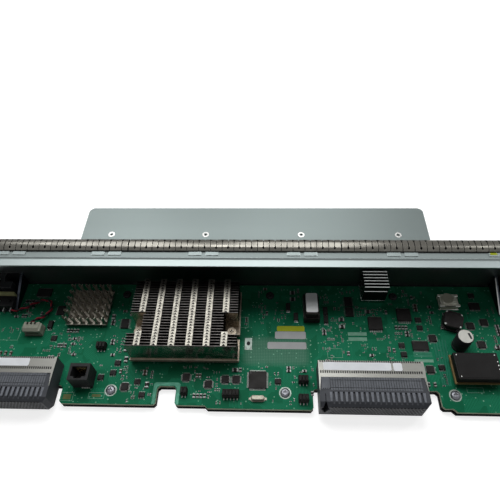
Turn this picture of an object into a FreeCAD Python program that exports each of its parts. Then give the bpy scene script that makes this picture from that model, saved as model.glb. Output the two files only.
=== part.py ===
import FreeCAD, Part
import math
import os
import re

import Sketcher

# Switch fabric card, lying component side up. X runs along the card, Y from the backplane edge
# towards the faceplate, Z up. The origin is on the tray's underside, midway along the card.

doc = FreeCAD.newDocument("switch_fabric_card")
sheet = doc.addObject("Spreadsheet::Sheet", "dims")

DIMENSIONS = {
    # Board, tray and the film between them
    "tray_gauge": 1.6,
    "standoff_height": 3.2,
    "standoff_width": 5.5,
    "board_thickness": 2.4,
    "board_width": 472,
    "near_edge": 56,
    "left_edge_setback": 2,
    "edge_step_x": 35,
    "recess_depth": 16,
    "recess_margin": 3.6,
    "key_notch_width": 13,
    "key_notch_setback": 2.6,
    "key_ledge": 7.8,
    "edge_notch_x": 65.4,
    "edge_notch_width": 14.6,
    "edge_notch_depth": 16.6,
    "board_corner": 1.8,
    "lip_height": 5.4,
    "lip_gap": 0.4,
    "film_gauge": 0.3,
    "film_inset": 2,
    "film_relief": 1.4,
    "screw_row_y": 43.3,
    "screw_from_key": 11.2,
    "screw_head": 3.6,
    "screw_head_height": 1.8,
    # Faceplate, shelf plate and gasket
    "face_width": 500,
    "face_gauge": 1.5,
    "wall_y": 56,
    "flange_rise": 52.8,
    "flange_depth": 18.2,
    "joggle_depth": 10.8,
    "joggle_run": 1.2,
    "joggle_drop": 1.2,
    "fold_radius": 2.4,
    "pad_pitch": 78.3,
    "pad_width": 10.2,
    "pad_gap": 3.3,
    "pad_depth": 3.2,
    "pad_rise": 0.6,
    "pad_setback": 7,
    "shelf_width": 284.4,
    "shelf_reach": 41,
    "shelf_gauge": 1.2,
    "shelf_drop": 12,
    "shelf_corner": 5,
    "nut_reach": 11.5,
    "nut_bore": 1.05,
    "gasket_width": 11.6,
    "gasket_height": 3.6,
    "gasket_gauge": 0.3,
    "gasket_slit": 0.7,
    "gasket_pitch": 9.5,
    "gasket_web": 3.2,
    "gasket_inset": 4.9,
    # Backplane connectors
    "connector_length": 78.6,
    "connector_height": 16,
    "connector_rear": 23.5,
    "connector_front": 58.3,
    "right_connector_x": 50.2,
    "left_connector_x": -229,
    "shield_depth": 13.1,
    "shield_gauge": 0.5,
    "wafer_depth": 10,
    "guide_module": 8,
    "guide_half_width": 3.3,
    "guide_half_height": 7.4,
    "guide_depth": 9,
    "nose_chamfer": 3.2,
    "nose_drop": 2,
    "beam_pitch": 3.7,
    "slot_width": 1.3,
    "slot_depth": 1.2,
    "end_chamfer": 3,
    # Main heat sink on the fabric chip
    "sink_x": -97,
    "sink_y": -20.5,
    "sink_width": 86.6,
    "sink_depth": 63.5,
    "sink_base": 3.4,
    "sink_rise": 30,
    "fin_pitch": 2.4,
    "fin_gauge": 0.4,
    "fin_inset": 0.8,
    "tab_pitch": 13.2,
    "tab_width": 5.4,
    "clip_width": 11.6,
    "clip_depth": 17,
    "clip_setback": 11.2,
    "clip_screw_inset": 6,
    "clip_screw_radius": 1.7,
    "clip_head_radius": 4,
    "clip_head_height": 2.4,
    "clip_head_rise": 7,
    "clip_slot_play": 0.4,
    "chip_carrier": 45,
    "chip_carrier_height": 1.2,
    "chip_lid": 38,
    "chip_lid_height": 1.4,
    # Pin-fin heat sink
    "pin_sink_x": -140,
    "pin_sink_y": 28,
    "pin_sink_width": 33.5,
    "pin_sink_base": 2.4,
    "pin_sink_rise": 15.5,
    "pin_sink_chip": 27,
    "pin_sink_chip_height": 1.6,
    "pin_pitch": 6.2,
    "pin_root": 2,
    "pin_crown": 3.6,
    # Small finned heat sink
    "small_sink_x": 101.8,
    "small_sink_y": 45.6,
    "small_sink_width": 20,
    "small_sink_depth": 16.4,
    "small_sink_base": 2,
    "small_sink_rise": 24,
    "small_fin_gauge": 1,
    "small_chip": 15,
    "small_chip_height": 1.5,
    # Modular jack
    "jack_x": -130.8,
    "jack_y": -35,
    "jack_width": 15.6,
    "jack_depth": 13.2,
    "jack_height": 16,
    "jack_mouth_width": 11.8,
    "jack_mouth_depth": 8,
    "jack_mouth_drop": 12.5,
    "jack_latch_width": 6,
    "jack_latch_depth": 1.6,
    "jack_contact_pitch": 1.02,
    "jack_contact_width": 0.45,
    "jack_contact_length": 9.4,
    # Packages on the board
    "lead_pitch": 2.54,
    "header_height": 6.5,
    "header_depth": 5.6,
    "foot_width": 0.64,
    "foot_reach": 1.4,
    "quad_x": 4.5,
    "quad_y": -33.6,
    "quad_width": 14,
    "quad_height": 1.5,
    "crystal_x": 4.9,
    "crystal_y": -48.3,
    "crystal_length": 11.4,
    "crystal_width": 4.8,
    "crystal_height": 3.8,
    "crystal_corner": 1.4,
    "memory_x": 48.8,
    "memory_y": 29,
    "memory_length": 21,
    "memory_width": 10.4,
    "memory_height": 4.6,
    "socket_height": 7,
    "socket_border": 1.4,
    "chip_height": 1.5,
    "so_length": 9,
    "so_width": 6.4,
    "quad_small": 6,
    "small_length": 5,
    "small_width": 4,
    "memory_flat_length": 13,
    "memory_flat_width": 8,
    "corner_chip_inset": 18,
    "power_chip": 11.6,
    "power_chip_height": 2.4,
    "tantalum_length": 7.4,
    "tantalum_width": 3.9,
    "tantalum_height": 3,
    # Power parts at the right
    "inductor_x": 163.6,
    "inductor_y": 17.5,
    "inductor_width": 17,
    "inductor_height": 8,
    "inductor_corner": 4,
    "inductor_turn": 18,
    "can_x": 165.3,
    "can_y": -2.6,
    "can_radius": 6.3,
    "can_height": 17,
    "coil_inset": 39.9,
    "coil_y": 37,
    "coil_width": 18.4,
    "coil_depth": 13,
    "coil_height": 7,
    "coil_cap_inset": 2.4,
    "coil_cap": 1,
    "module_x": 153.3,
    "module_y": -36,
    "module_width": 34.8,
    "module_depth": 23.2,
    "module_stand": 3.6,
    "module_board": 1.8,
    "module_rise": 12,
    "module_core_inset": 0.9,
    "module_pin_width": 1.2,
    "module_pin_inset": 2.2,
    # Ejector levers at the ends
    "pivot_inset": 24,
    "pivot_y": 47,
    "bracket_gauge": 2,
    "bracket_inner": 21.5,
    "bracket_outer": 9,
    "bracket_near": 25,
    "bracket_rise": 14,
    "lever_thickness": 12,
    "lever_play": 0.3,
    "hub_radius": 8,
    "pin_radius": 2.5,
    "pin_play": 0.06,
    "pin_head_radius": 4.6,
    "pin_head_height": 1.8,
    "neck_half": 7,
    "claw_reach": 26,
    "claw_depth": 4,
    "claw_lift": 1,
    "claw_nose": 2,
    "lobe_reach": 15.5,
    "lobe_inner": 9,
    "lobe_drop": 6,
    "handle_gap": 5.6,
    "handle_gauge": 5.4,
    "handle_reach": 76,
    "handle_tip": 14,
    "handle_tip_lift": 6,
    "lever_window": 18,
    "window_margin": 1,
    # Microswitch under the left lever
    "switch_width": 16,
    "switch_depth": 10,
    "switch_height": 6.5,
    "switch_clearance": 0.1,
    "switch_plate_gauge": 1.5,
    "switch_plate_height": 10.8,
    "switch_plate_margin": 2,
    "plunger_width": 3,
    "plunger_height": 2.4,
    "plunger_play": 0.1,
    "plunger_travel": 1,
    "plunger_stand": 3.2,
    "plunger_seat": 3,
    "plunger_gap": 0.3,
    "terminal_width": 0.6,
    "terminal_reach": 4,
    "terminal_height": 4,
    "terminal_pitch": 6,
    # Captive screws
    "captive_inset": 6,
    "captive_height": 51,
    "captive_radius": 2,
    "captive_play": 0.08,
    "captive_reach": 15,
    "captive_collar": 2.8,
    "captive_collar_gauge": 1,
    "captive_knob": 5.4,
    "captive_knob_length": 11,
    "captive_end_play": 0.3,
    # Lead between the microswitch and its header
    "lead_diameter": 2.1,
    "plug_width": 15.4,
    "plug_depth": 8.4,
    "plug_height": 5.6,
    "plug_x": -183.2,
    "plug_y": 6.2,
    "plug_header_height": 3.4,
}
for row, (name, value) in enumerate(DIMENSIONS.items(), start=1):
    sheet.set(f"A{row}", name)
    sheet.set(f"B{row}", str(value))
    sheet.setAlias(f"B{row}", name)
doc.recompute()

NAMES = re.compile(r"\b(" + "|".join(DIMENSIONS) + r")\b")

# Levels and places that several pieces share
BOARD_UNDER = "(tray_gauge + standoff_height)"
BOARD_TOP = "(tray_gauge + standoff_height + board_thickness)"
FACE_TOP = "(tray_gauge + standoff_height + board_thickness + flange_rise)"
WALL_OUTER = "(wall_y + face_gauge)"
PIVOT_X = "(face_width / 2 - pivot_inset)"
BRACKET_INNER = f"({PIVOT_X} - bracket_inner)"
BOARD_FAR = "(wall_y - tray_gauge - lip_gap)"
BRACKET_TOP = f"({BOARD_TOP} + bracket_gauge)"
LEVER_LOW = f"({BRACKET_TOP} + lever_play)"
LEVER_TOP = f"({LEVER_LOW} + lever_thickness)"


def linked(expression):
    """The expression with each dimension's name pointing at its cell."""
    return NAMES.sub(r"dims.\1", str(expression))


def value(expression):
    return float(sheet.evalExpression(linked(expression)))


def bind(thing, **expressions):
    for name, expression in expressions.items():
        thing.setExpression(name.replace("__", "."), linked(expression))


def place(thing, x, y, z):
    bind(thing, Placement__Base__x=x, Placement__Base__y=y, Placement__Base__z=z)


def block(name, x, y, z, length, width, height):
    """A box whose low corner is at x, y, z."""
    box = doc.addObject("Part::Box", name)
    bind(box, Length=length, Width=width, Height=height)
    place(box, x, y, z)
    return box


def centred_block(name, x, y, z, length, width, height):
    return block(name, f"{x} - {length} / 2", f"{y} - {width} / 2", z, length, width, height)


def rod(name, x, y, z, radius, height, along_y=False):
    """A cylinder that starts at x, y, z and runs up, or towards the faceplate."""
    cylinder = doc.addObject("Part::Cylinder", name)
    if along_y:
        cylinder.Placement.Rotation = FreeCAD.Rotation(FreeCAD.Vector(1, 0, 0), -90)
    bind(cylinder, Radius=radius, Height=height)
    place(cylinder, x, y, z)
    return cylinder


def flats(name, x, y, z, radius, height, sides, along_y=False):
    """A prism, for hexagons, screw heads and knobs, that runs up or towards the faceplate."""
    prism = doc.addObject("Part::Prism", name)
    prism.Polygon = sides
    if along_y:
        prism.Placement.Rotation = FreeCAD.Rotation(FreeCAD.Vector(1, 0, 0), -90)
    bind(prism, Circumradius=radius, Height=height)
    place(prism, x, y, z)
    return prism


def joined(name, members):
    fuse = doc.addObject("Part::MultiFuse", name)
    fuse.Shapes = members
    return fuse


def cut(name, base, tool):
    result = doc.addObject("Part::Cut", name)
    result.Base = base
    result.Tool = tool
    return result


def group(name, members):
    compound = doc.addObject("Part::Compound", name)
    compound.Links = members
    return compound


def mirrored(name, source):
    twin = doc.addObject("Part::Mirroring", name)
    twin.Source = source
    twin.Normal = (1, 0, 0)
    return twin


def new_body(name):
    return doc.addObject("PartDesign::Body", name)


def sketch(body, name, plane, outlines, circles=(), lift="0"):
    """Closed outlines and circles on one of the body's own planes, each point tied to the sheet."""
    drawing = body.newObject("Sketcher::SketchObject", name)
    support = next(f for f in body.Origin.OriginFeatures if f.Role == plane)
    drawing.AttachmentSupport = [(support, "")]
    drawing.MapMode = "FlatFace"
    bind(drawing, AttachmentOffset__Base__z=lift)
    for outline in outlines:
        corners = [FreeCAD.Vector(value(x), value(y), 0) for x, y in outline]
        lines = []
        for start, end in zip(corners, corners[1:] + corners[:1]):
            lines.append(drawing.addGeometry(Part.LineSegment(start, end), False))
        for line, following in zip(lines, lines[1:] + lines[:1]):
            drawing.addConstraint(Sketcher.Constraint("Coincident", line, 2, following, 1))
        for line, corner, (x, y) in zip(lines, corners, outline):
            pin_point(drawing, line, 1, corner, x, y)
    for x, y, radius in circles:
        centre = FreeCAD.Vector(value(x), value(y), 0)
        circle = Part.Circle(centre, FreeCAD.Vector(0, 0, 1), value(radius))
        ring = drawing.addGeometry(circle, False)
        size = drawing.addConstraint(Sketcher.Constraint("Radius", ring, value(radius)))
        drawing.setExpression(f"Constraints[{size}]", linked(radius))
        pin_point(drawing, ring, 3, centre, x, y)
    return drawing


def pin_point(drawing, geometry, vertex, at, x, y):
    across = drawing.addConstraint(Sketcher.Constraint("DistanceX", -1, 1, geometry, vertex, at.x))
    drawing.setExpression(f"Constraints[{across}]", linked(x))
    upward = drawing.addConstraint(Sketcher.Constraint("DistanceY", -1, 1, geometry, vertex, at.y))
    drawing.setExpression(f"Constraints[{upward}]", linked(y))


def pad(body, profile, length, symmetric=False):
    feature = body.newObject("PartDesign::Pad", profile.Name + "_pad")
    feature.Profile = profile
    bind(feature, Length=length)
    if symmetric:
        feature.SideType = "Symmetric"
    return feature


def pocket(body, profile, depth, symmetric=False):
    feature = body.newObject("PartDesign::Pocket", profile.Name + "_pocket")
    feature.Profile = profile
    bind(feature, Length=depth)
    if symmetric:
        feature.SideType = "Symmetric"
    return feature


def soften(body, kind, size, chosen):
    """A fillet or chamfer on those edges of the body for which chosen(edge) holds."""
    doc.recompute()
    base = body.Tip
    names = [f"Edge{i}" for i, edge in enumerate(base.Shape.Edges, start=1) if chosen(edge)]
    feature = body.newObject(f"PartDesign::{kind}", f"{body.Name}_{kind.lower()}_{len(body.Group)}")
    feature.Base = (base, names)
    if kind == "Fillet":
        bind(feature, Radius=size)
    else:
        bind(feature, Size=size)
    return feature


def runs_along(edge, axis):
    """True for a straight edge along X, Y or Z."""
    if edge.Curve.TypeId != "Part::GeomLine":
        return False
    return abs(abs(getattr(edge.Curve.Direction, axis)) - 1) < 1e-6


def close(a, b):
    return abs(a - b) < 1e-4


def rectangle(x0, y0, x1, y1):
    return [(x0, y0), (x1, y0), (x1, y1), (x0, y1)]


# Board, tray and film share the backplane edge: recesses under both connectors, a keying notch
# beside the right one, and a guide notch left of the middle.
RECESS_Y = "(-near_edge + recess_depth)"
LEFT_Y = "(-near_edge + left_edge_setback)"
LEFT_RECESS_X = "(left_connector_x + connector_length + recess_margin)"
RIGHT_RECESS_X = "(right_connector_x - recess_margin)"
KEY_X = "(right_connector_x + connector_length + key_notch_width)"
NOTCH_LEFT = "(-edge_notch_x - edge_notch_width / 2)"
NOTCH_RIGHT = "(-edge_notch_x + edge_notch_width / 2)"
NOTCH_Y = "(-near_edge + edge_notch_depth)"
KEY_Y = "(-near_edge + key_notch_setback)"
KEY_LEDGE = f"({KEY_X} + key_ledge)"


def board_outline(inset, far):
    """The board's edge, drawn in by inset at the ends and along the backplane side."""
    left = f"(-board_width / 2 + {inset})"
    right = f"(board_width / 2 - {inset})"
    return [
        (left, f"{RECESS_Y} + {inset}"),
        (f"{LEFT_RECESS_X} + {inset}", f"{RECESS_Y} + {inset}"),
        (f"{LEFT_RECESS_X} + {inset}", f"{LEFT_Y} + {inset}"),
        (f"{NOTCH_LEFT} - {inset}", f"{LEFT_Y} + {inset}"),
        (f"{NOTCH_LEFT} - {inset}", f"{NOTCH_Y} + {inset}"),
        (f"{NOTCH_RIGHT} + {inset}", f"{NOTCH_Y} + {inset}"),
        (f"{NOTCH_RIGHT} + {inset}", f"{LEFT_Y} + {inset}"),
        (f"-edge_step_x + {inset}", f"{LEFT_Y} + {inset}"),
        (f"-edge_step_x + left_edge_setback + {inset}", f"-near_edge + {inset}"),
        (f"{RIGHT_RECESS_X} - {inset}", f"-near_edge + {inset}"),
        (f"{RIGHT_RECESS_X} - {inset}", f"{RECESS_Y} + {inset}"),
        (f"{KEY_X} + {inset}", f"{RECESS_Y} + {inset}"),
        (f"{KEY_X} + {inset}", f"{KEY_Y} + {inset}"),
        (f"{KEY_LEDGE} + {inset}", f"{KEY_Y} + {inset}"),
        (f"{KEY_LEDGE} + key_notch_setback + {inset}", f"-near_edge + {inset}"),
        (right, f"-near_edge + {inset}"),
        (right, far),
        (left, far),
    ]


def square_corner(edge):
    """True for the upright edges along the backplane side, apart from those at its two small slopes."""
    slopes = [value("-edge_step_x + left_edge_setback / 2")]
    slopes.append(value(f"{KEY_LEDGE} + key_notch_setback / 2"))
    reach = value("left_edge_setback + key_notch_setback")
    on_slope = any(abs(edge.CenterOfMass.x - slope) < reach for slope in slopes)
    return runs_along(edge, "z") and edge.CenterOfMass.y < 0 and not on_slope


# Screws stand in a row behind the backplane edge and along the faceplate
SCREW_SPOTS = [
    (-108.7, "-screw_row_y"),
    (25.6, "-screw_row_y"),
    (f"({KEY_X} + screw_from_key)", "-screw_row_y"),
    (-112, "screw_row_y"),
    (14, "screw_row_y"),
    (120, "screw_row_y"),
]
CLIP_Y = "(sink_y + sink_depth / 2 - clip_setback)"
CLIP_SPOTS = [
    ("(sink_x + clip_screw_inset)", CLIP_Y),
    ("(sink_x + sink_width - clip_screw_inset)", CLIP_Y),
]

tray = new_body("carrier_tray")
pad(tray, sketch(tray, "tray_outline", "XY_Plane", [board_outline("0", "wall_y")]), "tray_gauge")
lip = rectangle("-board_width / 2", "wall_y - tray_gauge", "board_width / 2", "wall_y")
pad(tray, sketch(tray, "tray_lip", "XY_Plane", [lip]), "lip_height")
soften(tray, "Chamfer", "board_corner", square_corner)

standoffs = []
for index, (x, y) in enumerate(SCREW_SPOTS):
    standoffs.append(flats(f"standoff_{index}", x, y, "tray_gauge", "standoff_width / sqrt(3)",
                           "standoff_height", 6))
group("board_standoffs", standoffs)

film = new_body("insulating_film")
windows = []
for x, y in SCREW_SPOTS:
    half = "(standoff_width / 2 + film_relief)"
    windows.append(rectangle(f"{x} - {half}", f"{y} - {half}", f"{x} + {half}", f"{y} + {half}"))
film_far = "(wall_y - tray_gauge - film_inset)"
film_sketch = sketch(film, "film_outline", "XY_Plane", [board_outline("film_inset", film_far)] + windows,
                     lift="tray_gauge")
pad(film, film_sketch, "film_gauge")

board = new_body("circuit_board")
pad(board, sketch(board, "board_edge", "XY_Plane", [board_outline("0", BOARD_FAR)], lift=BOARD_UNDER),
    "board_thickness")
soften(board, "Chamfer", "board_corner", square_corner)

screws = []
for index, (x, y) in enumerate(SCREW_SPOTS):
    screws.append(flats(f"screw_{index}", x, y, BOARD_TOP, "screw_head", "screw_head_height", 12))
group("board_screws", screws)

# Faceplate: one folded sheet, a wall with a top flange that steps down towards its free edge
JOGGLE_FAR = "(wall_y - joggle_depth)"
JOGGLE_NEAR = "(wall_y - joggle_depth - joggle_run)"
FLANGE_NEAR = "(wall_y - flange_depth)"
FLANGE_LOW = f"({FACE_TOP} - joggle_drop)"
faceplate = new_body("faceplate")
section = [
    (WALL_OUTER, "0"),
    (WALL_OUTER, FACE_TOP),
    (JOGGLE_FAR, FACE_TOP),
    (JOGGLE_NEAR, FLANGE_LOW),
    (FLANGE_NEAR, FLANGE_LOW),
    (FLANGE_NEAR, f"{FLANGE_LOW} - face_gauge"),
    (JOGGLE_NEAR, f"{FLANGE_LOW} - face_gauge"),
    (JOGGLE_FAR, f"{FACE_TOP} - face_gauge"),
    ("wall_y", f"{FACE_TOP} - face_gauge"),
    ("wall_y", "0"),
]
pad(faceplate, sketch(faceplate, "face_section", "YZ_Plane", [section]), "face_width", symmetric=True)
soften(faceplate, "Fillet", "fold_radius", lambda e: runs_along(e, "x")
       and close(e.CenterOfMass.y, value(WALL_OUTER)) and close(e.CenterOfMass.z, value(FACE_TOP)))
soften(faceplate, "Fillet", "fold_radius - face_gauge", lambda e: runs_along(e, "x")
       and close(e.CenterOfMass.y, value("wall_y"))
       and close(e.CenterOfMass.z, value(f"{FACE_TOP} - face_gauge")))
pads = []
for pair in (-2.5, -1.5, -0.5, 0.5, 1.5, 2.5):
    for side in (-1, 1):
        middle = f"({pair} * pad_pitch + {side} * (pad_width + pad_gap) / 2)"
        pads.append(rectangle(f"{middle} - pad_width / 2", "wall_y - pad_setback - pad_depth / 2",
                              f"{middle} + pad_width / 2", "wall_y - pad_setback + pad_depth / 2"))
pad(faceplate, sketch(faceplate, "embossed_pads", "XY_Plane", pads, lift=FACE_TOP), "pad_rise")
window_low = "-window_margin"
window_top = f"({LEVER_TOP} + window_margin)"
window_start = f"({PIVOT_X} - lever_window)"
window_end = "(face_width / 2 + window_margin)"
lever_windows = [
    rectangle(window_start, window_low, window_end, window_top),
    rectangle(f"-{window_end}", window_low, f"-{window_start}", window_top),
]
captive_x = "(face_width / 2 - captive_inset)"
captive_bore = "captive_radius + captive_play"
captive_holes = [(f"{side}{captive_x}", "captive_height", captive_bore) for side in ("", "-")]
pocket(faceplate, sketch(faceplate, "end_windows", "XZ_Plane", lever_windows, captive_holes),
       f"2 * {WALL_OUTER} + window_margin", symmetric=True)

# Shelf plate: an angle fixed to the wall's outer face, level with the top flange
SHELF_FAR = f"({WALL_OUTER} + shelf_reach)"
shelf = new_body("shelf_plate")
angle = [
    (WALL_OUTER, FACE_TOP),
    (SHELF_FAR, FACE_TOP),
    (SHELF_FAR, f"{FACE_TOP} - shelf_gauge"),
    (f"{WALL_OUTER} + shelf_gauge", f"{FACE_TOP} - shelf_gauge"),
    (f"{WALL_OUTER} + shelf_gauge", f"{FACE_TOP} - shelf_drop"),
    (WALL_OUTER, f"{FACE_TOP} - shelf_drop"),
]
pad(shelf, sketch(shelf, "shelf_section", "YZ_Plane", [angle]), "shelf_width", symmetric=True)
soften(shelf, "Fillet", "fold_radius", lambda e: runs_along(e, "x")
       and close(e.CenterOfMass.y, value(WALL_OUTER)) and close(e.CenterOfMass.z, value(FACE_TOP)))
soften(shelf, "Fillet", "shelf_corner", lambda e: runs_along(e, "z")
       and close(e.CenterOfMass.y, value(SHELF_FAR)))
NUT_SPOTS = [(f"({step} * pad_pitch)", f"({WALL_OUTER} + nut_reach)") for step in (-1.5, -0.5, 0.5, 1.5)]
nut_holes = [(x, y, "nut_bore") for x, y in NUT_SPOTS]
pocket(shelf, sketch(shelf, "nut_holes", "XY_Plane", [], nut_holes, lift=FACE_TOP), "shelf_gauge")

# Finger gasket: an arched strip over the faceplate's top edge, slit in turn from either side
ARCH_RISES = [(0, 0), (0.2, 0.72), (0.5, 1), (0.8, 0.72), (1, 0)]
gasket = new_body("emi_gasket")
arch = []
for across, up in ARCH_RISES:
    arch.append((f"wall_y - gasket_inset + {across} * gasket_width",
                 f"{FACE_TOP} + {up} * gasket_height"))
for across, up in reversed(ARCH_RISES):
    inward = f"(gasket_width - 2 * gasket_gauge) * {across} + gasket_gauge"
    arch.append((f"wall_y - gasket_inset + {inward}",
                 f"{FACE_TOP} + {up} * (gasket_height - gasket_gauge)"))
pad(gasket, sketch(gasket, "gasket_arch", "YZ_Plane", [arch]), "face_width", symmetric=True)
SLIT_TOP = f"({FACE_TOP} + gasket_height)"
GASKET_NEAR = "(wall_y - gasket_inset)"
GASKET_FAR = f"({GASKET_NEAR} + gasket_width)"
slits = int(value("face_width / gasket_pitch / 2")) - 1
for name, start, near, far in (
    ("near_slit", 0.5, GASKET_NEAR, f"{GASKET_FAR} - gasket_web"),
    ("far_slit", 1.5, f"{GASKET_NEAR} + gasket_web", GASKET_FAR),
):
    slit_x = f"(-face_width / 2 + {start} * gasket_pitch)"
    slit = rectangle(f"{slit_x} - gasket_slit / 2", near, f"{slit_x} + gasket_slit / 2", far)
    slit_sketch = sketch(gasket, name, "XY_Plane", [slit], lift=SLIT_TOP)
    slit_cut = pocket(gasket, slit_sketch, "gasket_height")
    repeat = gasket.newObject("PartDesign::LinearPattern", f"{name}_row")
    repeat.Originals = [slit_cut]
    repeat.Direction = (slit_sketch, ["H_Axis"])
    repeat.Occurrences = slits + 1
    bind(repeat, Length=f"2 * gasket_pitch * {slits}")
    gasket.Tip = repeat

# Backplane connectors: a moulded housing whose nose overhangs the board, a row of wafers and a
# folded shield over its rear
CONNECTOR_TOP = f"({BOARD_TOP} + connector_height)"
SHIELD_FRONT = "(-connector_rear - shield_depth)"
WAFER_FRONT = f"({SHIELD_FRONT} - wafer_depth)"
UNDER_SHIELD = f"({CONNECTOR_TOP} - shield_gauge)"
for side in ("left", "right"):
    start = f"{side}_connector_x"
    end = f"({start} + connector_length)"
    housing = new_body(f"{side}_connector_housing")
    profile = [
        ("-connector_rear - shield_gauge", BOARD_TOP),
        ("-connector_rear - shield_gauge", UNDER_SHIELD),
        (WAFER_FRONT, UNDER_SHIELD),
        (WAFER_FRONT, CONNECTOR_TOP),
        ("-connector_front + nose_chamfer", CONNECTOR_TOP),
        ("-connector_front", f"{CONNECTOR_TOP} - nose_chamfer"),
        ("-connector_front", f"{BOARD_TOP} - nose_drop"),
        (f"{RECESS_Y} - lip_gap", f"{BOARD_TOP} - nose_drop"),
        (f"{RECESS_Y} - lip_gap", BOARD_TOP),
    ]
    housing_sketch = sketch(housing, f"{side}_housing_section", "YZ_Plane", [profile], lift=start)
    pad(housing, housing_sketch, "connector_length")
    soften(housing, "Chamfer", "end_chamfer", lambda e: runs_along(e, "z")
           and close(e.CenterOfMass.x, value(end)) and close(e.CenterOfMass.y, value("-connector_front")))
    guide_x = f"({start} + guide_module / 2)"
    guide_z = f"({CONNECTOR_TOP} - guide_half_height + nose_chamfer / 6)"
    kite = [
        (guide_x, f"{guide_z} - guide_half_height"),
        (f"{guide_x} + guide_half_width", guide_z),
        (guide_x, f"{guide_z} + guide_half_height"),
        (f"{guide_x} - guide_half_width", guide_z),
    ]
    guide_hole = sketch(housing, f"{side}_guide_hole", "XZ_Plane", [kite], lift="connector_front")
    pocket(housing, guide_hole, "guide_depth")
    slot_x = f"({start} + guide_module + (beam_pitch - slot_width) / 2)"
    slot = rectangle(slot_x, "-connector_front", f"{slot_x} + slot_width", f"{WAFER_FRONT} - slot_depth")
    slot_sketch = sketch(housing, f"{side}_beam_slot", "XY_Plane", [slot], lift=CONNECTOR_TOP)
    slot_cut = pocket(housing, slot_sketch, "slot_depth")
    beams = int(value("(connector_length - guide_module - end_chamfer) / beam_pitch"))
    slots = housing.newObject("PartDesign::LinearPattern", f"{side}_beam_slots")
    slots.Originals = [slot_cut]
    slots.Direction = (slot_sketch, ["H_Axis"])
    slots.Occurrences = beams
    bind(slots, Length=f"beam_pitch * {beams - 1}")
    housing.Tip = slots

    shield = new_body(f"{side}_connector_shield")
    fold = [
        ("-connector_rear", BOARD_TOP),
        ("-connector_rear", CONNECTOR_TOP),
        (SHIELD_FRONT, CONNECTOR_TOP),
        (SHIELD_FRONT, UNDER_SHIELD),
        ("-connector_rear - shield_gauge", UNDER_SHIELD),
        ("-connector_rear - shield_gauge", BOARD_TOP),
    ]
    shield_sketch = sketch(shield, f"{side}_shield_section", "YZ_Plane", [fold], lift=start)
    pad(shield, shield_sketch, "connector_length")

    block(f"{side}_connector_wafers", f"{start} + guide_module", WAFER_FRONT, UNDER_SHIELD,
          "connector_length - guide_module - end_chamfer", "wafer_depth", "shield_gauge")

# Main heat sink: a base plate on the chip, zipper fins folded over at six tabs, and two spring
# screws in the gaps at its sides
CHIP_TOP = f"({BOARD_TOP} + chip_carrier_height + chip_lid_height)"
SINK_TOP = f"({BOARD_TOP} + sink_rise)"
BASE_TOP = f"({CHIP_TOP} + sink_base)"
SINK_MID_X = "(sink_x + sink_width / 2)"
SINK_MID_Y = "(sink_y + sink_depth / 2)"
carrier = centred_block("chip_carrier_plate", SINK_MID_X, SINK_MID_Y, BOARD_TOP,
                        "chip_carrier", "chip_carrier", "chip_carrier_height")
lid = centred_block("chip_lid_plate", SINK_MID_X, SINK_MID_Y, f"{BOARD_TOP} + chip_carrier_height",
                    "chip_lid", "chip_lid", "chip_lid_height")
joined("fabric_chip", [carrier, lid])

sink_base = new_body("main_sink_base")
base_plate = rectangle("sink_x", "sink_y", "sink_x + sink_width", "sink_y + sink_depth")
pad(sink_base, sketch(sink_base, "sink_base_plate", "XY_Plane", [base_plate], lift=CHIP_TOP), "sink_base")
clip_slots = []
for side in ("", "sink_width - "):
    reach = "(clip_screw_inset + clip_screw_radius + clip_slot_play)"
    edges = [f"sink_x + {side}0", f"sink_x + {side}{reach}"]
    across = "(clip_screw_radius + clip_slot_play)"
    clip_slots.append(rectangle(edges[0], f"{CLIP_Y} - {across}", edges[1], f"{CLIP_Y} + {across}"))
pocket(sink_base, sketch(sink_base, "sink_base_slots", "XY_Plane", clip_slots, lift=BASE_TOP), "sink_base")

# Fins stand on the base; the tabs folded over at their tops lie edge to edge in six strips
fins = []
FIN_HEIGHT = f"({SINK_TOP} - {BASE_TOP} - fin_gauge)"
FIN_LENGTH = "(sink_width - 2 * fin_inset)"
NARROW_LENGTH = "(sink_width - 2 * clip_width)"
FIN_COUNT = int(value("(sink_depth - 2 * fin_inset) / fin_pitch"))


def beside_screws(index):
    middle = value("sink_y + fin_inset") + (index + 0.5) * value("fin_pitch")
    return abs(middle - value(CLIP_Y)) < value("clip_depth") / 2


for index in range(FIN_COUNT):
    length = NARROW_LENGTH if beside_screws(index) else FIN_LENGTH
    fin_y = f"sink_y + fin_inset + {index} * fin_pitch"
    fins.append(block(f"fin_{index}", f"{SINK_MID_X} - {length} / 2", fin_y, BASE_TOP, length, "fin_gauge",
                      FIN_HEIGHT))
first_short = min(index for index in range(FIN_COUNT) if beside_screws(index))
last_short = max(index for index in range(FIN_COUNT) if beside_screws(index))
for column in (-2.5, -1.5, -0.5, 0.5, 1.5, 2.5):
    x = f"({SINK_MID_X} + {column} * tab_pitch - tab_width / 2)"
    if abs(column) > 2:
        stretches = [(0, first_short), (last_short + 1, FIN_COUNT)]
    else:
        stretches = [(0, FIN_COUNT)]
    for first, end in stretches:
        tabs_y = f"sink_y + fin_inset + {first} * fin_pitch"
        fins.append(block(f"tabs_{len(fins)}", x, tabs_y, f"{SINK_TOP} - fin_gauge", "tab_width",
                          f"({end} - {first}) * fin_pitch", "fin_gauge"))
group("main_sink_fins", fins)

clip_screws = []
for index, (x, y) in enumerate(CLIP_SPOTS):
    head_z = f"({BASE_TOP} + clip_head_rise)"
    head = flats(f"clip_head_{index}", x, y, head_z, "clip_head_radius", "clip_head_height", 12)
    shank = flats(f"clip_shank_{index}", x, y, BOARD_TOP, "clip_screw_radius", f"{head_z} - {BOARD_TOP}",
                  12)
    clip_screws.append(joined(f"clip_screw_{index}", [head, shank]))
group("main_sink_screws", clip_screws)

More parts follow.
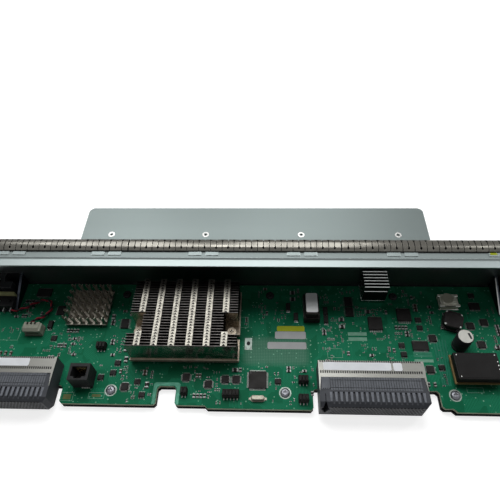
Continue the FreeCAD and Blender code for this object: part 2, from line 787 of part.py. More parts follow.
# Pin-fin heat sink: a cast block of pins that flare towards their crowns
PIN_BASE = f"({BOARD_TOP} + pin_sink_chip_height)"
centred_block("pin_sink_chip_body", "pin_sink_x", "pin_sink_y", BOARD_TOP,
              "pin_sink_chip", "pin_sink_chip", "pin_sink_chip_height").Label = "pin_sink_chip"
pin_base = centred_block("pin_sink_plate", "pin_sink_x", "pin_sink_y", PIN_BASE,
                         "pin_sink_width", "pin_sink_width", "pin_sink_base")
pins = [pin_base]
for column in (-2.5, -1.5, -0.5, 0.5, 1.5, 2.5):
    for line in (-2.5, -1.5, -0.5, 0.5, 1.5, 2.5):
        wedge = doc.addObject("Part::Wedge", f"sink_pin_{len(pins)}")
        bind(wedge, Xmin="-pin_root / 2", Xmax="pin_root / 2",
             X2min="-pin_crown / 2", X2max="pin_crown / 2",
             Zmin="-pin_root / 2", Zmax="pin_root / 2", Z2min="-pin_root / 2", Z2max="pin_root / 2",
             Ymin="0", Ymax="pin_sink_rise - pin_sink_chip_height - pin_sink_base")
        wedge.Placement.Rotation = FreeCAD.Rotation(FreeCAD.Vector(1, 0, 0), 90)
        place(wedge, f"pin_sink_x + {column} * pin_pitch", f"pin_sink_y + {line} * pin_pitch",
              f"{PIN_BASE} + pin_sink_base")
        pins.append(wedge)
joined("pin_sink", pins)

# Small finned heat sink near the faceplate
SMALL_BASE = f"({BOARD_TOP} + small_chip_height)"
centred_block("finned_sink_chip", "small_sink_x", "small_sink_y", BOARD_TOP, "small_chip", "small_chip",
              "small_chip_height")
small_pieces = [centred_block("small_sink_plate", "small_sink_x", "small_sink_y", SMALL_BASE,
                              "small_sink_width", "small_sink_depth", "small_sink_base")]
for line in range(6):
    y = f"(small_sink_y - small_sink_depth / 2 + {line} * (small_sink_depth - small_fin_gauge) / 5)"
    small_pieces.append(block(f"small_fin_{line}", "small_sink_x - small_sink_width / 2", y,
                              f"{SMALL_BASE} + small_sink_base", "small_sink_width", "small_fin_gauge",
                              "small_sink_rise - small_sink_base - small_chip_height"))
joined("finned_sink", small_pieces)

# Modular jack with its mouth upwards and its latch notch towards the backplane edge
jack = new_body("jack_housing")
jack_body = rectangle("jack_x - jack_width / 2", "jack_y - jack_depth / 2",
                      "jack_x + jack_width / 2", "jack_y + jack_depth / 2")
pad(jack, sketch(jack, "jack_body", "XY_Plane", [jack_body], lift=BOARD_TOP), "jack_height")
JACK_TOP = f"({BOARD_TOP} + jack_height)"
MOUTH_NEAR = "(jack_y - jack_mouth_depth / 2)"
MOUTH_FAR = "(jack_y + jack_mouth_depth / 2)"
mouth = [
    ("jack_x - jack_mouth_width / 2", MOUTH_FAR),
    ("jack_x - jack_mouth_width / 2", MOUTH_NEAR),
    ("jack_x - jack_latch_width / 2", MOUTH_NEAR),
    ("jack_x - jack_latch_width / 2", f"{MOUTH_NEAR} - jack_latch_depth"),
    ("jack_x + jack_latch_width / 2", f"{MOUTH_NEAR} - jack_latch_depth"),
    ("jack_x + jack_latch_width / 2", MOUTH_NEAR),
    ("jack_x + jack_mouth_width / 2", MOUTH_NEAR),
    ("jack_x + jack_mouth_width / 2", MOUTH_FAR),
]
pocket(jack, sketch(jack, "jack_mouth", "XY_Plane", [mouth], lift=JACK_TOP), "jack_mouth_drop")
contacts = []
for index in range(8):
    x = f"(jack_x + ({index} - 3.5) * jack_contact_pitch - jack_contact_width / 2)"
    contacts.append(block(f"jack_contact_{index}", x, f"{MOUTH_FAR} - jack_contact_width",
                          f"{JACK_TOP} - jack_mouth_drop", "jack_contact_width", "jack_contact_width",
                          "jack_contact_length"))
group("jack_contacts", contacts)

# Pin headers: a black moulding with a row of feet at each side
HEADERS = [
    (-123.2, -7.3, 3),
    (-15.7, -45.4, 5),
    (39.7, -33.5, 3),
    (39.4, -48.2, 3),
    (-51.5, -44.1, 2),
]
mouldings = []
feet = []
for index, (x, y, ways) in enumerate(HEADERS):
    mouldings.append(centred_block(f"header_{index}", x, y, BOARD_TOP, f"({ways} * lead_pitch)",
                                   "header_depth", "header_height"))
    for way in range(ways):
        foot_x = f"({x} + ({way} - {(ways - 1) / 2}) * lead_pitch)"
        for side in (-1, 1):
            foot_y = f"({y} + {side} * (header_depth + foot_reach) / 2)"
            feet.append(centred_block(f"foot_{index}_{way}_{side + 1}", foot_x, foot_y, BOARD_TOP,
                                      "foot_width", "foot_reach", "foot_width"))
group("header_mouldings", mouldings)
group("header_feet", feet)

# Quad flat chip and crystal
centred_block("quad_flat_chip", "quad_x", "quad_y", BOARD_TOP, "quad_width", "quad_width", "quad_height")
crystal = new_body("crystal_can")
slab = rectangle("crystal_x - crystal_length / 2", "crystal_y - crystal_width / 2",
                 "crystal_x + crystal_length / 2", "crystal_y + crystal_width / 2")
pad(crystal, sketch(crystal, "crystal_outline", "XY_Plane", [slab], lift=BOARD_TOP), "crystal_height")
soften(crystal, "Chamfer", "crystal_corner", lambda e: runs_along(e, "z"))

# Socketed memory chip
centred_block("memory_socket", "memory_x", "memory_y", BOARD_TOP, "(memory_width + 2 * socket_border)",
              "(memory_length + 2 * socket_border)", "socket_height")
centred_block("memory_chip", "memory_x", "memory_y", f"{BOARD_TOP} + socket_height", "memory_width",
              "memory_length", "memory_height")

# Small chips by package: width along X, width along Y, height
PACKAGES = {
    "so_across": ("so_length", "so_width", "chip_height"),
    "so_along": ("so_width", "so_length", "chip_height"),
    "quad": ("quad_small", "quad_small", "chip_height"),
    "small": ("small_length", "small_width", "chip_height"),
    "flat": ("memory_flat_length", "memory_flat_width", "chip_height"),
    "power": ("power_chip", "power_chip", "power_chip_height"),
}
CORNER_X = f"({BRACKET_INNER} - corner_chip_inset)"
CHIPS = [
    ("flat", f"-{CORNER_X}", 44.6), ("so_along", -166.6, 26.4), ("small", -165.4, 0),
    ("small", -109.6, -29.3), ("small", -118.7, -33.2), ("small", -107.5, -21.1),
    ("quad", -98.2, -40.6), ("so_along", -108.3, 14.2), ("small", -89, -36.4),
    ("small", -83.9, -46.8), ("quad", -51.2, -32.2), ("quad", -33.5, -37.5),
    ("quad", -20.6, -33.5), ("quad", -12.2, -33.4), ("small", 20.2, -34.5),
    ("so_along", 81.1, 37.5), ("so_along", 81.1, 27.5), ("power", 101.2, 16.3),
    ("flat", 134.5, -3.2), ("power", 125.9, 24.6), ("quad", 145.6, 3.6),
    ("quad", 138.4, -23.2), ("small", 147.6, -21.4), ("small", 119.8, -3),
    ("small", 120.3, -10.8), ("small", 137.1, 13), ("small", 137.1, 20.4),
    ("small", CORNER_X, 44.6), ("so_across", CORNER_X, 33.9), ("quad", 190.4, 18.6),
    ("quad", 183.3, -1.5), ("quad", 178.6, 15.3),
]
chips = []
for index, (package, x, y) in enumerate(CHIPS):
    across, along, tall = PACKAGES[package]
    chips.append(centred_block(f"chip_{index}_{package}", x, y, BOARD_TOP, across, along, tall))
group("small_chips", chips)

TANTALUMS = [(35.8, 21.8), (29.5, 31), (60.8, 27.6), (60.8, 19.4), (-171.4, 12)]
tantalums = []
for index, (x, y) in enumerate(TANTALUMS):
    tantalums.append(centred_block(f"tantalum_{index}", x, y, BOARD_TOP, "tantalum_width",
                                   "tantalum_length", "tantalum_height"))
group("tantalum_capacitors", tantalums)

# Power inductor: a square block with cut corners, set askew
inductor = new_body("power_inductor")
half = "(inductor_width / 2)"
square = rectangle(f"-{half}", f"-{half}", half, half)
pad(inductor, sketch(inductor, "inductor_block", "XY_Plane", [square]), "inductor_height")
soften(inductor, "Chamfer", "inductor_corner", lambda e: runs_along(e, "z"))
inductor.Placement.Rotation = FreeCAD.Rotation(FreeCAD.Vector(0, 0, 1), -value("inductor_turn"))
place(inductor, "inductor_x", "inductor_y", BOARD_TOP)

# Capacitor can
rod("capacitor_can", "can_x", "can_y", BOARD_TOP, "can_radius", "can_height")

# Shielded coil: a base block under a pressed metal cap
COIL_X = f"({BRACKET_INNER} - coil_inset)"
coil_base = centred_block("coil_block", COIL_X, "coil_y", BOARD_TOP, "coil_width", "coil_depth",
                          "coil_height - coil_cap")
coil_cap = centred_block("coil_cap_plate", COIL_X, "coil_y", f"{BOARD_TOP} + coil_height - coil_cap",
                         "(coil_width - 2 * coil_cap_inset)", "(coil_depth - coil_cap_inset)", "coil_cap")
joined("shielded_coil", [coil_base, coil_cap])

# Power module: a small board on pins, with a flat core over most of it
MODULE_LOW = f"({BOARD_TOP} + module_stand)"
block("power_module_board", "module_x", "module_y", MODULE_LOW, "module_width", "module_depth",
      "module_board")
block("power_module_core", "module_x + module_core_inset", "module_y + module_core_inset",
      f"{MODULE_LOW} + module_board", "module_width - 2 * module_core_inset",
      "module_depth - 2 * module_core_inset", "module_rise - module_stand - module_board")
module_pins = []
for x in ("module_x + module_pin_inset", "module_x + module_width - module_pin_inset"):
    for y in ("module_y + module_pin_inset", "module_y + module_depth - module_pin_inset"):
        module_pins.append(centred_block(f"module_pin_{len(module_pins)}", x, y, BOARD_TOP,
                                         "module_pin_width", "module_pin_width", "module_stand"))
group("power_module_pins", module_pins)

# Ejector lever at the right end, its bracket and its hinge pin; the left ones are their mirror
# images. The bracket's upright side slopes down from the wall to the board.
bracket = new_body("right_lever_bracket")
foot_plate = rectangle(BRACKET_INNER, "bracket_near", f"{PIVOT_X} + bracket_outer", "wall_y - tray_gauge")
pad(bracket, sketch(bracket, "bracket_foot", "XY_Plane", [foot_plate], lift=BOARD_TOP), "bracket_gauge")
gusset = [
    ("bracket_near", BOARD_TOP),
    ("wall_y", BOARD_TOP),
    ("wall_y", f"{BOARD_TOP} + bracket_rise"),
    ("wall_y - bracket_gauge", f"{BOARD_TOP} + bracket_rise"),
    ("bracket_near", f"{BOARD_TOP} + bracket_gauge"),
]
pad(bracket, sketch(bracket, "bracket_gusset", "YZ_Plane", [gusset], lift=BRACKET_INNER), "bracket_gauge")
mirrored("left_lever_bracket", bracket)

lever = new_body("right_lever")
HANDLE_INNER = f"({WALL_OUTER} + handle_gap)"
HANDLE_OUTER = f"({WALL_OUTER} + handle_gap + handle_gauge)"
HANDLE_END = f"({PIVOT_X} - handle_reach)"
arm = [
    (f"{PIVOT_X} - lobe_reach", "pivot_y - lobe_drop"),
    (f"{PIVOT_X} - lobe_inner", "pivot_y - lobe_drop"),
    (f"{PIVOT_X}", "pivot_y - claw_depth"),
    (f"{PIVOT_X} + claw_reach - claw_nose", "pivot_y - claw_depth"),
    (f"{PIVOT_X} + claw_reach", "pivot_y - claw_depth + claw_nose"),
    (f"{PIVOT_X} + claw_reach", "pivot_y + claw_lift"),
    (f"{PIVOT_X} + neck_half", "pivot_y + claw_lift + claw_nose"),
    (f"{PIVOT_X} + neck_half", HANDLE_OUTER),
    (f"{HANDLE_END} + handle_tip", HANDLE_OUTER),
    (HANDLE_END, f"{HANDLE_OUTER} + handle_tip_lift"),
    (HANDLE_END, f"{HANDLE_INNER} + handle_tip_lift"),
    (f"{HANDLE_END} + handle_tip", HANDLE_INNER),
    (f"{PIVOT_X} - neck_half", HANDLE_INNER),
    (f"{PIVOT_X} - neck_half", "pivot_y"),
    (f"{PIVOT_X} - lobe_reach", "pivot_y"),
]
pad(lever, sketch(lever, "lever_arm", "XY_Plane", [arm], lift=LEVER_LOW), "lever_thickness")
pad(lever, sketch(lever, "lever_hub", "XY_Plane", [], [(PIVOT_X, "pivot_y", "hub_radius")], lift=LEVER_LOW),
    "lever_thickness")
pocket(lever, sketch(lever, "lever_bore", "XY_Plane", [], [(PIVOT_X, "pivot_y", "pin_radius + pin_play")],
                     lift=LEVER_TOP), "lever_thickness")
mirrored("left_lever", lever)

pin_shank = rod("hinge_pin_shank", PIVOT_X, "pivot_y", BRACKET_TOP, "pin_radius",
                f"{LEVER_TOP} + lever_play - {BRACKET_TOP}")
pin_head = flats("hinge_pin_head", PIVOT_X, "pivot_y", f"{LEVER_TOP} + lever_play", "pin_head_radius",
                 "pin_head_height", 12)
hinge_pin = joined("right_hinge_pin", [pin_shank, pin_head])
mirrored("left_hinge_pin", hinge_pin)

# Microswitch on the left bracket's foot, its plunger just under the lever's lobe
SWITCH_X = f"(bracket_inner - {PIVOT_X} - bracket_gauge - switch_clearance - switch_width / 2)"
PLUNGER_TIP = "(pivot_y - lobe_drop - plunger_gap)"
PLATE_FAR = f"({PLUNGER_TIP} - plunger_stand)"
SWITCH_FAR = f"({PLATE_FAR} - switch_plate_gauge)"
PLUNGER_Z = f"({BRACKET_TOP} + switch_height / 2)"
bore_depth = "(plunger_seat + plunger_travel + plunger_gap)"


def plunger_space(name, start, depth, play):
    """The plunger's own section, with room around it, from start towards the faceplate."""
    low_x = f"{SWITCH_X} - plunger_width / 2 - {play}"
    low_z = f"{PLUNGER_Z} - plunger_height / 2 - {play}"
    return block(name, low_x, start, low_z, f"plunger_width + 2 * {play}", depth,
                 f"plunger_height + 2 * {play}")


plate_x = f"{SWITCH_X} - switch_width / 2 - switch_plate_margin"
plate_width = "switch_width + switch_plate_margin"
plate_blank = block("switch_plate_blank", plate_x, SWITCH_FAR, BRACKET_TOP, plate_width,
                    "switch_plate_gauge", "switch_plate_height")
plate_hole = plunger_space("switch_plate_hole", SWITCH_FAR, "switch_plate_gauge", "plunger_play")
cut("switch_plate", plate_blank, plate_hole)
case = block("switch_case", f"{SWITCH_X} - switch_width / 2", f"{SWITCH_FAR} - switch_depth", BRACKET_TOP,
             "switch_width", "switch_depth", "switch_height")
bore = plunger_space("switch_bore", f"{SWITCH_FAR} - {bore_depth}", bore_depth, "plunger_play")
cut("switch_body", case, bore)
plunger_length = f"{PLUNGER_TIP} - {SWITCH_FAR} + plunger_seat"
plunger_space("switch_plunger", f"{SWITCH_FAR} - plunger_seat", plunger_length, "0")
terminals = []
for index in (-1, 0, 1):
    x = f"({SWITCH_X} + {index} * terminal_pitch)"
    terminals.append(block(f"terminal_{index + 1}", f"{x} - terminal_width / 2",
                           f"{SWITCH_FAR} - switch_depth - terminal_reach", BRACKET_TOP,
                           "terminal_width", "terminal_reach", "terminal_height"))
group("switch_terminals", terminals)

# Captive thumbscrews turn in the faceplate's own holes
KNOB_START = f"({WALL_OUTER} + captive_end_play)"
knob = flats("captive_knob_drum", captive_x, KNOB_START, "captive_height", "captive_knob",
             "captive_knob_length", 16, along_y=True)
shank = rod("captive_shank", captive_x, f"{KNOB_START} - captive_reach", "captive_height", "captive_radius",
            "captive_reach", along_y=True)
collar = flats("captive_collar_ring", captive_x, "wall_y - captive_end_play - captive_collar_gauge",
               "captive_height", "captive_collar", "captive_collar_gauge", 12, along_y=True)
captive = joined("right_captive_screw", [knob, shank, collar])
mirrored("left_captive_screw", captive)

# Lead from the switch to its plug: straight runs joined by tangent arcs
centred_block("lead_header", "plug_x", "plug_y", BOARD_TOP, "plug_width", "plug_depth",
              "plug_header_height")
centred_block("lead_plug", "plug_x", "plug_y", f"{BOARD_TOP} + plug_header_height", "plug_width",
              "plug_depth", "plug_height")
PLUG_FAR = value("plug_y + plug_depth / 2")
LEAD_START_X = value(f"{SWITCH_X} + terminal_pitch + terminal_width / 2")
LEAD_ROUTE = [
    (LEAD_START_X, 23.6, 4.2),
    (-201.5, 24.6, 3.6),
    (-195.5, 28.2, 3),
    (-190.4, 32.2, 2.7),
    (-185.6, 35, 2.7),
    (-180, 35.6, 2.7),
    (-175.6, 32.6, 2.7),
    (-174.3, 27.2, 2.7),
    (-175.8, 21.8, 2.8),
    (-179.8, 17.4, 3.6),
    (-184.6, 14.6, 4.6),
    (-187.9, PLUG_FAR, 5.6),
]


def lead_tube(route, diameter):
    """A six-sided tube along the route, each corner an arc as large as its two runs allow."""
    edges = []
    at = route[0]
    for before, corner, after in zip(route, route[1:], route[2:]):
        into = (corner - before).normalize()
        onward = (after - corner).normalize()
        half_turn = into.getAngle(onward) / 2
        setback = 0.45 * min((corner - before).Length, (after - corner).Length)
        radius = setback / math.tan(half_turn)
        print(f"lead radius {radius:.1f} mm")
        bisector = (onward - into).normalize()
        middle = corner + bisector * (radius / math.cos(half_turn) - radius)
        start = corner - into * setback
        end = corner + onward * setback
        edges.append(Part.LineSegment(at, start).toShape())
        edges.append(Part.Arc(start, middle, end).toShape())
        at = end
    edges.append(Part.LineSegment(at, route[-1]).toShape())
    path = Part.Wire(edges)
    ahead = (route[1] - route[0]).normalize()
    sideways = ahead.cross(FreeCAD.Vector(0, 0, 1)).normalize() * (diameter / 2)
    turns = [FreeCAD.Rotation(ahead, 60 * step) for step in range(7)]
    hexagon = Part.makePolygon([route[0] + turn.multVec(sideways) for turn in turns])
    tube = path.makePipeShell([hexagon], True, False)
    ratio = tube.Volume / (path.Length * Part.Face(hexagon).Area)
    print(f"lead length {path.Length:.1f} mm, volume over section times length {ratio:.4f}")
    return tube


lead_points = [FreeCAD.Vector(x, y, z + value(BOARD_TOP)) for x, y, z in LEAD_ROUTE]
doc.addObject("Part::Feature", "switch_lead").Shape = lead_tube(lead_points, value("lead_diameter"))

NODES = """
carrier_tray board_standoffs insulating_film circuit_board board_screws faceplate shelf_plate emi_gasket
left_connector_housing left_connector_shield left_connector_wafers
right_connector_housing right_connector_shield right_connector_wafers
main_sink_base main_sink_fins main_sink_screws fabric_chip pin_sink pin_sink_chip
finned_sink finned_sink_chip jack_housing jack_contacts header_mouldings header_feet
quad_flat_chip crystal_can memory_socket memory_chip small_chips tantalum_capacitors
power_inductor capacitor_can shielded_coil
power_module_board power_module_core power_module_pins switch_lead lead_plug lead_header
switch_body switch_plunger switch_terminals switch_plate
left_lever_bracket right_lever_bracket left_lever right_lever left_hinge_pin right_hinge_pin
left_captive_screw right_captive_screw
""".split()

doc.recompute()
for thing in doc.Objects:
    if "Invalid" in thing.State or "Error" in thing.State:
        raise RuntimeError(f"{thing.Label} failed: {thing.State}")
os.makedirs("parts", exist_ok=True)
for node in NODES:
    shape = doc.getObjectsByLabel(node)[0].Shape
    if shape.isNull() or not shape.isValid() or not shape.Solids:
        raise RuntimeError(f"{node} has no valid solid")
    shape.exportStep(f"parts/{node}.step")
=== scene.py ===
import math
import random

import bmesh
import bpy
from mathutils import Matrix, Vector


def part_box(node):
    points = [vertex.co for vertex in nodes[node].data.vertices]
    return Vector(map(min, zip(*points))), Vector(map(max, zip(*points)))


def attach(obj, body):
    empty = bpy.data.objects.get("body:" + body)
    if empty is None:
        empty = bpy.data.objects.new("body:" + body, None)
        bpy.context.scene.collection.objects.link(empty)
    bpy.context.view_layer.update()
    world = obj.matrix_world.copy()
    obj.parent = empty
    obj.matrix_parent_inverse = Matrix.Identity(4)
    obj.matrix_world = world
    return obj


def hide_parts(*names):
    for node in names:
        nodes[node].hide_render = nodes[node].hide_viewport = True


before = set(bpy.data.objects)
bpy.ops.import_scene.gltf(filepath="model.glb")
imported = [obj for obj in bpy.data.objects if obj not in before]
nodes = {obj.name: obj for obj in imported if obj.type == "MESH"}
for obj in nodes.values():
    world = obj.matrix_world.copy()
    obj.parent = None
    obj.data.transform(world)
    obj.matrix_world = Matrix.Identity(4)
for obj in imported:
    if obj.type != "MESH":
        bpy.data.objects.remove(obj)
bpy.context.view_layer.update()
MM = 0.001


# Camera, floor and light: the card lies on a plain pale floor, seen from above its backplane edge. Three
# soft lamps hang above and behind it, so that the faceplate's flange shades the board, and a weak one
# stands in front.
CAMERA_RIGHT = Vector((0.99919592, 0.02726029, -0.02940046))
CAMERA_DOWN = Vector((0.00363376, -0.79184661, -0.61070921))
CAMERA_AHEAD = Vector((-0.03992876, 0.61011132, -0.79130896))
CAMERA_PLACE = Vector((12.8, -176.0, 357.2)) * MM
camera_data = bpy.data.cameras.new("camera")
camera_data.sensor_width = 36.0
camera_data.lens = 33.84
camera = bpy.data.objects.new("camera", camera_data)
camera_turn = Matrix((CAMERA_RIGHT, -CAMERA_DOWN, -CAMERA_AHEAD)).transposed()
camera.matrix_world = Matrix.Translation(CAMERA_PLACE) @ camera_turn.to_4x4()
scene = bpy.context.scene
scene.collection.objects.link(camera)
scene.camera = camera
scene.view_settings.view_transform = "Standard"
# Place, width, depth and power of each lamp; all of them face the middle of the card
LAMPS = {
    "right_overhead_lamp": ((0.76, 0.42, 0.80), 0.26, 0.60, 2.1),
    "middle_overhead_lamp": ((0.07, 0.42, 0.80), 0.36, 0.60, 3.6),
    "left_overhead_lamp": ((-0.31, 0.42, 0.80), 0.38, 0.60, 4.0),
    "front_lamp": ((-0.30, -0.80, 0.75), 0.9, 0.5, 0.15),
}
for name, (place, width, depth, power) in LAMPS.items():
    lamp = bpy.data.lights.new(name, "AREA")
    lamp.shape = "RECTANGLE"
    lamp.size = width
    lamp.size_y = depth
    lamp.energy = power
    stand = bpy.data.objects.new(name, lamp)
    stand.location = place
    stand.rotation_euler = Vector(place).to_track_quat("Z", "Y").to_euler()
    scene.collection.objects.link(stand)


def shader_node(tree, kind, inputs=None, **settings):
    """A shader node with its settings and inputs; an input given as a socket is linked."""
    made = tree.nodes.new("ShaderNode" + kind)
    for name, value in settings.items():
        setattr(made, name, value)
    for key, value in (inputs or {}).items():
        if isinstance(value, bpy.types.NodeSocket):
            tree.links.new(value, made.inputs[key])
        else:
            made.inputs[key].default_value = value
    return made


def maths(tree, operation, *values):
    return shader_node(tree, "Math", dict(enumerate(values)), operation=operation).outputs[0]


def new_material(name):
    material = bpy.data.materials.new(name)
    material.use_nodes = True
    return material, material.node_tree, material.node_tree.nodes["Principled BSDF"]


def backdrop_rays(tree):
    """1 for the rays that show the backdrop: straight from the camera, or by way of gloss or glass."""
    path = shader_node(tree, "LightPath").outputs
    mirrored = maths(tree, "MAXIMUM", path["Is Glossy Ray"], path["Is Transmission Ray"])
    return maths(tree, "MAXIMUM", path["Is Camera Ray"], mirrored)


SKY_FILL = 0.10
world = bpy.data.worlds.new("studio")
world.use_nodes = True
scene.world = world
sky_tree = world.node_tree
sky = sky_tree.nodes["Background"]
sky.inputs["Color"].default_value = (1.0, 1.0, 1.0, 1.0)
sky_strength = shader_node(sky_tree, "MapRange", {"Value": backdrop_rays(sky_tree), "To Min": SKY_FILL})
sky_tree.links.new(sky_strength.outputs[0], sky.inputs["Strength"])

FLOOR_REACH = 3.0
FLOOR_GAP = 0.2 * MM
FLOOR_GLOW = 0.78
floor_mesh = bpy.data.meshes.new("floor")
corners = [(x * FLOOR_REACH, y * FLOOR_REACH, -FLOOR_GAP) for x, y in ((-1, -1), (1, -1), (1, 1), (-1, 1))]
floor_mesh.from_pydata(corners, [], [(0, 1, 2, 3)])
floor = bpy.data.objects.new("floor", floor_mesh)
scene.collection.objects.link(floor)
floor_paint, floor_tree, floor_shader = new_material("floor_paint")
floor_shader.inputs["Base Color"].default_value = (0.5, 0.5, 0.5, 1.0)
floor_shader.inputs["Roughness"].default_value = 0.9
floor_shader.inputs["Emission Color"].default_value = (1.0, 1.0, 1.0, 1.0)
floor_glow = maths(floor_tree, "MULTIPLY", backdrop_rays(floor_tree), FLOOR_GLOW)
floor_tree.links.new(floor_glow, floor_shader.inputs["Emission Strength"])
floor_mesh.materials.append(floor_paint)


# Carrier tray, standoffs and film: a folded sheet under the whole board, black like the insulating
# film that lies on it, with hexagonal steel standoffs pressed into it.
def shader_group(name, inputs, outputs):
    """A new shader group with its input and output nodes."""
    group = bpy.data.node_groups.new(name, "ShaderNodeTree")
    for label, value in inputs.items():
        kind = "NodeSocketVector" if isinstance(value, tuple) else "NodeSocketFloat"
        group.interface.new_socket(label, in_out="INPUT", socket_type=kind).default_value = value
    for label in outputs:
        group.interface.new_socket(label, in_out="OUTPUT", socket_type="NodeSocketFloat")
    return group, group.nodes.new("NodeGroupInput"), group.nodes.new("NodeGroupOutput")


def remapped(tree, value, start, end):
    """0 where a value is at its start, 1 where it is at its end."""
    return shader_node(tree, "MapRange", {"Value": value, "From Min": start, "From Max": end}).outputs[0]


def surface_grain():
    """Cloudy tone and fine grain, sized in millimetres and drawn out along the sheet's own grain."""
    inputs = {"Cloud Size": 20.0, "Grain Size": 0.5, "Stretch": (1.0, 1.0, 1.0)}
    group, taken, given = shader_group("surface_grain", inputs, ("Cloud", "Grain"))
    place = shader_node(group, "TexCoord").outputs["Object"]
    drawn = shader_node(group, "VectorMath", {0: place, 1: taken.outputs["Stretch"]}, operation="MULTIPLY")
    for size, result, detail in (("Cloud Size", "Cloud", 5.0), ("Grain Size", "Grain", 2.0)):
        scale = maths(group, "DIVIDE", 1 / MM, taken.outputs[size])
        noise = shader_node(group, "TexNoise", {"Vector": drawn.outputs[0], "Scale": scale, "Detail": detail})
        group.links.new(remapped(group, noise.outputs[0], 0.3, 0.7), given.inputs[result])
    return group


def worn_edges():
    """A mask along the edges of a piece, broken up where the wear is uneven."""
    group, taken, given = shader_group("worn_edges", {"Reach": 0.4, "Break Size": 3.0}, ("Edge",))
    reach = maths(group, "MULTIPLY", taken.outputs["Reach"], MM)
    rounded = shader_node(group, "Bevel", {"Radius": reach}, samples=4).outputs[0]
    facing = shader_node(group, "NewGeometry").outputs["Normal"]
    compared = {0: rounded, 1: facing}
    agree = shader_node(group, "VectorMath", compared, operation="DOT_PRODUCT").outputs["Value"]
    place = shader_node(group, "TexCoord").outputs["Object"]
    scale = maths(group, "DIVIDE", 1 / MM, taken.outputs["Break Size"])
    patches = shader_node(group, "TexNoise", {"Vector": place, "Scale": scale, "Detail": 3.0}).outputs[0]
    turn = remapped(group, agree, 0.985, 0.80)
    kept = remapped(group, patches, 0.35, 0.6)
    group.links.new(maths(group, "MULTIPLY", turn, kept), given.inputs["Edge"])
    return group


SURFACE_GRAIN = surface_grain()
WORN_EDGES = worn_edges()


def blend_colours(tree, factor, first, second):
    return shader_node(tree, "Mix", {0: factor, 6: first, 7: second}, data_type="RGBA").outputs[2]


def opaque(colour, share=1.0):
    return (colour[0] * share, colour[1] * share, colour[2] * share, 1.0)


def finish(name, colour, roughness, metallic=0.0, shade=0.78, cloud=22.0, grain=0.5, stretch=(1.0, 1.0, 1.0),
           bump=0.12, spread=0.08, edge=None, edge_reach=0.35, gloss=0.08):
    """A finish whose tone and gloss drift over the surface, with a fine grain and rubbed edges."""
    material, tree, shader = new_material(name)
    sizes = {"Cloud Size": cloud, "Grain Size": grain, "Stretch": stretch}
    surface = shader_node(tree, "Group", sizes, node_tree=SURFACE_GRAIN).outputs
    tone = blend_colours(tree, surface["Cloud"], opaque(colour, shade), opaque(colour))
    if edge is not None:
        rubbed = shader_node(tree, "Group", {"Reach": edge_reach}, node_tree=WORN_EDGES).outputs["Edge"]
        tone = blend_colours(tree, rubbed, tone, opaque(edge))
    tree.links.new(tone, shader.inputs["Base Color"])
    drift = {"Value": surface["Cloud"], "To Min": roughness + spread, "To Max": roughness - spread}
    tree.links.new(shader_node(tree, "MapRange", drift).outputs[0], shader.inputs["Roughness"])
    relief = shader_node(tree, "Bump", {"Strength": bump, "Distance": 0.1 * MM, "Height": surface["Grain"]})
    tree.links.new(relief.outputs[0], shader.inputs["Normal"])
    shader.inputs["Metallic"].default_value = metallic
    shader.inputs["Specular IOR Level"].default_value = gloss
    return material


def dress(material, *names):
    """Gives CAD nodes whose shape is right their finish."""
    for name in names:
        nodes[name].data.materials.clear()
        nodes[name].data.materials.append(material)


black_coat = finish("black_coat", (0.016, 0.017, 0.018), 0.5, edge=(0.09, 0.09, 0.09))
black_film = finish("black_film", (0.010, 0.014, 0.015), 0.42, cloud=40.0, grain=1.2)
plated_steel = finish("plated_steel", (0.36, 0.36, 0.35), 0.28, metallic=1.0, cloud=4.0, grain=0.3,
                      edge=(0.62, 0.62, 0.60), edge_reach=0.2)
dress(black_coat, "carrier_tray")
dress(black_film, "insulating_film")
dress(plated_steel, "board_standoffs")


